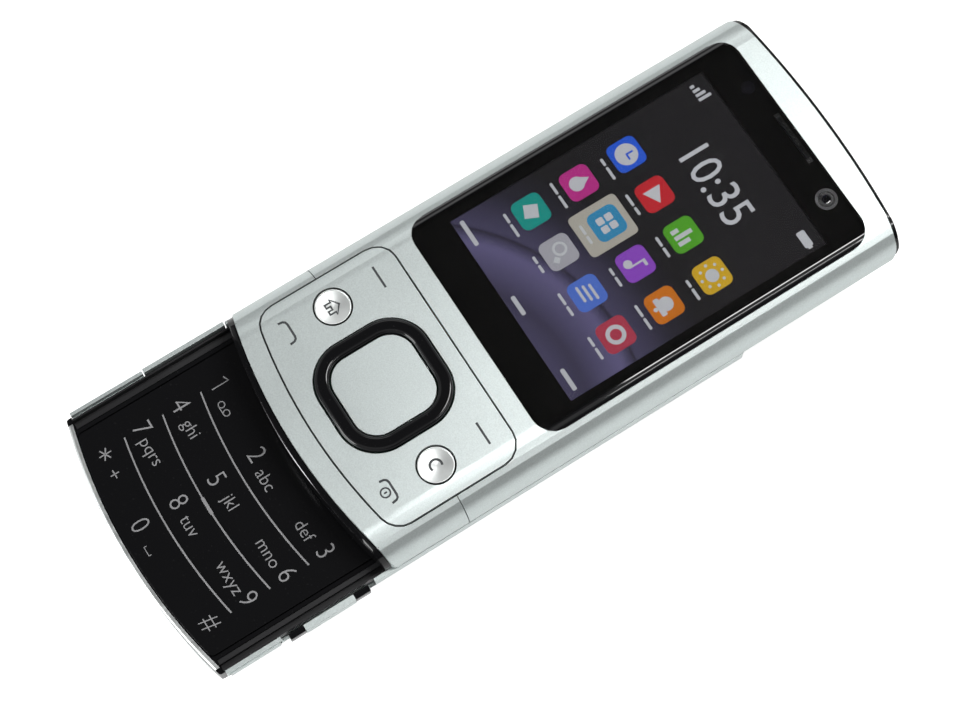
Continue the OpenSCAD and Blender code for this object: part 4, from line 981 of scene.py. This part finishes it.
# Finishes inside: name, shared group, tint, further settings, and the CAD pieces that are painted with it
INNER_FINISHES = (
    ("Stamped steel", "drawn", (0.52, 0.53, 0.54), {"bump": 0.1, "metallic": 1.0},
     ("slide_plate", "slide_plate_screws", "function_domes", "slide_spring", "number_domes", "shield_can",
      "vibration_motor", "sim_holder", "card_slot", "usb_connector", "microphone", "frame_screws")),
    ("Dark steel", "drawn", (0.10, 0.10, 0.105), {"bump": 0.1, "metallic": 0.9}, ("speaker_mesh",)),
    ("Gold plate", "drawn", (0.83, 0.60, 0.25), {"metallic": 1.0}, ("battery_contacts", "antenna")),
    ("Moulded black", "moulded", (0.03, 0.03, 0.032), {"bump": 0.3},
     ("slider_frame", "earpiece", "chassis", "rear_camera", "loudspeaker", "charger_jack")),
    ("Clear rubber", "moulded", (0.42, 0.42, 0.41), {"bump": 0.1, "Roughness": 0.7},
     ("function_keymat", "number_keymat", "nav_pad")),
    ("Black foam", "moulded", (0.008, 0.008, 0.008), {"bump": 0.6, "Roughness": 0.9},
     ("earpiece_mesh", "display_gasket")),
    ("Board green", "moulded", (0.02, 0.12, 0.06), {"Roughness": 0.35}, ("function_board", "main_board")),
    ("Cell wrap", "gloss", (0.10, 0.105, 0.11), {"Roughness": 0.35}, ("battery",)),
    ("Lens", "gloss", (0.004, 0.004, 0.008), {"Roughness": 0.02}, ("light_sensor",)),
    ("Camera barrel", "moulded", (0.10, 0.10, 0.105), {"Roughness": 0.35}, ("front_camera",)),
    ("Flash lens", "gloss", (0.85, 0.83, 0.70), {"Roughness": 0.12}, ("flash",)),
    ("Black paint", "moulded", (0.012, 0.012, 0.013), {"metallic": 0.3, "Roughness": 0.4},
     ("slide_rail_plate", "display_module")),
)
EYE_PROFILE = ((0, 0.04), (0.3, 0.036), (0.55, 0.02), (0.68, 0), (0, 0))  # radii and heights in mm


class PHONE_OT_inner_pieces(bpy.types.Operator):
    """Materials of the pieces inside, and of the small ones that show in openings"""
    bl_idname = "phone.inner_pieces"
    bl_label = "Inner pieces"

    def execute(self, context):
        made = {}
        for name, kind, tint, settings, nodes in INNER_FINISHES:
            made[name] = finish(name, kind, tint, **settings)
            for node in nodes:
                paint(node, made[name])

        # the ribbon between the halves, as a smooth copy that rides no body
        bm = bmesh.new()
        bm.from_mesh(frame["nodes"]["flex_cable"].data)
        amber = finish("Amber ribbon", "moulded", (0.45, 0.20, 0.03), Roughness=0.3)
        piece = add_piece("flex_ribbon", closed_smooth(bm, "flex_ribbon"), None, amber,
                          ("flex_cable",))
        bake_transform(piece)

        low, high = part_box("front_camera")
        x, y, z = (low.x + high.x) / 2, (low.y + high.y) / 2, high.z
        eye = turned_shape("front_camera_eye", x, y, [(r * MM, z + h * MM) for r, h in EYE_PROFILE])
        add_piece("front_camera_eye", eye, "slider", made["Lens"])
        rim = line_art([ring_points(x, y, 1.15 * MM, 0, 360, 32)], 0.28 * MM, z)
        add_piece("front_camera_rim", rim, "slider", made["Moulded black"])
        return {'FINISHED'}


# The camera that was solved on the photograph's edges
LENS, SENSOR_WIDTH = 84.75, 36
CAMERA_PLACE = Matrix((
    (0.53680764, -0.8041341, 0.25535447, 89.08 * MM),
    (0.84369661, 0.51294857, -0.15830286, -41.68 * MM),
    (-0.00368698, 0.30041989, 0.95379993, 332.15 * MM),
    (0, 0, 0, 1)))

# A dark field overhead, where the window and the black pieces mirror it, and dark low walls at both sides:
# the way to each, and pairs of nearness to that way and brightness
SKY_FIELDS = (((-0.27, 0.16, 0.95), ((0.0, 0.55), (0.82, 0.85), (0.93, 0.06))),
              ((0.98, 0.12, 0.08), ((0.0, 1.0), (0.80, 1.0), (0.94, 0.03))),
              ((-0.99, 0.12, 0.0), ((0.0, 1.0), (0.84, 1.0), (0.98, 0.3))))


class PHONE_OT_studio(bpy.types.Operator):
    """Camera, floor, lamps and the light from all round"""
    bl_idname = "phone.studio"
    bl_label = "Studio"

    def execute(self, context):
        studio = context.scene.phone_studio
        scene = context.scene
        scene.view_settings.view_transform = 'Standard'

        camera = bpy.data.objects.new("camera", bpy.data.cameras.new("camera"))
        camera.data.lens = LENS
        camera.data.sensor_width = SENSOR_WIDTH
        camera.data.clip_start = 0.01
        camera.matrix_world = CAMERA_PLACE
        scene.collection.objects.link(camera)
        scene.camera = camera

        # the floor lies a little below the phone, so that its back doesn't lie in the floor's plane
        bm = bmesh.new()
        tile(bm, 0, 0, 8.0, 8.0, 0, -0.05 * MM)
        floor = bpy.data.objects.new("floor", mesh_from(bm, "floor"))
        scene.collection.objects.link(floor)
        material, tree, shader = new_material("Floor")
        # it shines white for the camera, and only a little where metal mirrors it
        path = add_node(tree, 'LightPath')
        seen = calc(tree, 'MAXIMUM', path['Is Camera Ray'], path['Is Transmission Ray'])
        shine = calc(tree, 'MULTIPLY_ADD', path['Is Glossy Ray'], 0.16, calc(tree, 'MULTIPLY', seen, 0.8))
        feed(tree, shader, Base_Color=(*studio.floor, 1), Roughness=0.9, Specular_IOR_Level=0.1,
             Emission_Color=(1, 1, 1, 1), Emission_Strength=shine)
        floor.data.materials.append(material)

        world = bpy.data.worlds.new("Studio")
        world.use_nodes = True
        scene.world = world
        tree = world.node_tree
        way = add_node(tree, 'TexCoord')['Generated']
        around = studio.sky
        for axis, steps in SKY_FIELDS:
            field = colour_ramp(tree, vector_calc(tree, 'DOT_PRODUCT', way, axis),
                                [(at, (level, level, level)) for at, level in steps])
            around = calc(tree, 'MULTIPLY', field, around)
        seen = add_node(tree, 'LightPath')['Is Camera Ray']
        feed(tree, tree.nodes["Background"], Color=(1, 1, 1, 1), Strength=calc(tree, 'MAXIMUM', seen, around))

        # name, place, the y it is aimed at, power, length and width; the strips face straight across
        for name, place, aim, power, long, short in (
                ("main_lamp", (-0.78, 0.40, 0.80), 0, studio.main, 0.5, 0.5),
                ("fill_lamp", (0.0, -0.95, 0.38), 0, studio.fill, 0.55, 0.6),
                ("upper_strip_lamp", (0.04, 0.60, 0.95), 0.60, studio.strip * 4, 0.75, 0.17),
                ("lower_strip_lamp", (0.66, 0.60, 0.77), 0.60, studio.strip, 0.75, 0.06)):
            lamp = bpy.data.lights.new(name, 'AREA')
            lamp.shape = 'RECTANGLE'
            lamp.energy = power
            lamp.size = long
            lamp.size_y = short
            holder = bpy.data.objects.new(name, lamp)
            holder.location = place
            holder.rotation_euler = (Vector((0, aim, 0)) - Vector(place)).to_track_quat('-Z', 'Y').to_euler()
            scene.collection.objects.link(holder)
        return {'FINISHED'}


class PHONE_PT_sidebar(bpy.types.Panel):
    """Lists the phone's groups of pieces"""
    bl_idname = "PHONE_PT_sidebar"
    bl_label = "Slider Phone"
    bl_space_type = 'VIEW_3D'
    bl_region_type = 'UI'
    bl_category = "Slider Phone"

    def draw(self, context):
        for settings in SETTINGS:
            box = self.layout.box()
            group = getattr(context.scene, settings)
            for name in group.__annotations__:
                box.prop(group, name)
        for operator in OPERATORS:
            self.layout.operator(operator.bl_idname)


OPERATORS = (PHONE_OT_studio, PHONE_OT_satin_shells, PHONE_OT_gloss_pieces, PHONE_OT_number_sheet,
             PHONE_OT_bright_metal, PHONE_OT_window, PHONE_OT_screen, PHONE_OT_function_legends,
             PHONE_OT_number_legends, PHONE_OT_inner_pieces)
SETTINGS = {"phone_finish": PhoneFinish, "phone_print": PhonePrint, "phone_screen": PhoneScreen,
            "phone_studio": PhoneStudio}


def register():
    for cls in (*SETTINGS.values(), *OPERATORS, PHONE_PT_sidebar):
        bpy.utils.register_class(cls)
    for name, cls in SETTINGS.items():
        setattr(bpy.types.Scene, name, PointerProperty(type=cls))


def unregister():
    for name in SETTINGS:
        delattr(bpy.types.Scene, name)
    for cls in (PHONE_PT_sidebar, *reversed(OPERATORS), *reversed(SETTINGS.values())):
        bpy.utils.unregister_class(cls)


def main():
    register()
    bpy.ops.phone.studio()
    bpy.ops.phone.satin_shells()
    bpy.ops.phone.gloss_pieces()
    bpy.ops.phone.number_sheet()
    bpy.ops.phone.bright_metal()
    bpy.ops.phone.window()
    bpy.ops.phone.screen()
    bpy.ops.phone.function_legends()
    bpy.ops.phone.number_legends()
    bpy.ops.phone.inner_pieces()
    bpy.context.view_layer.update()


if __name__ == "__main__":
    main()
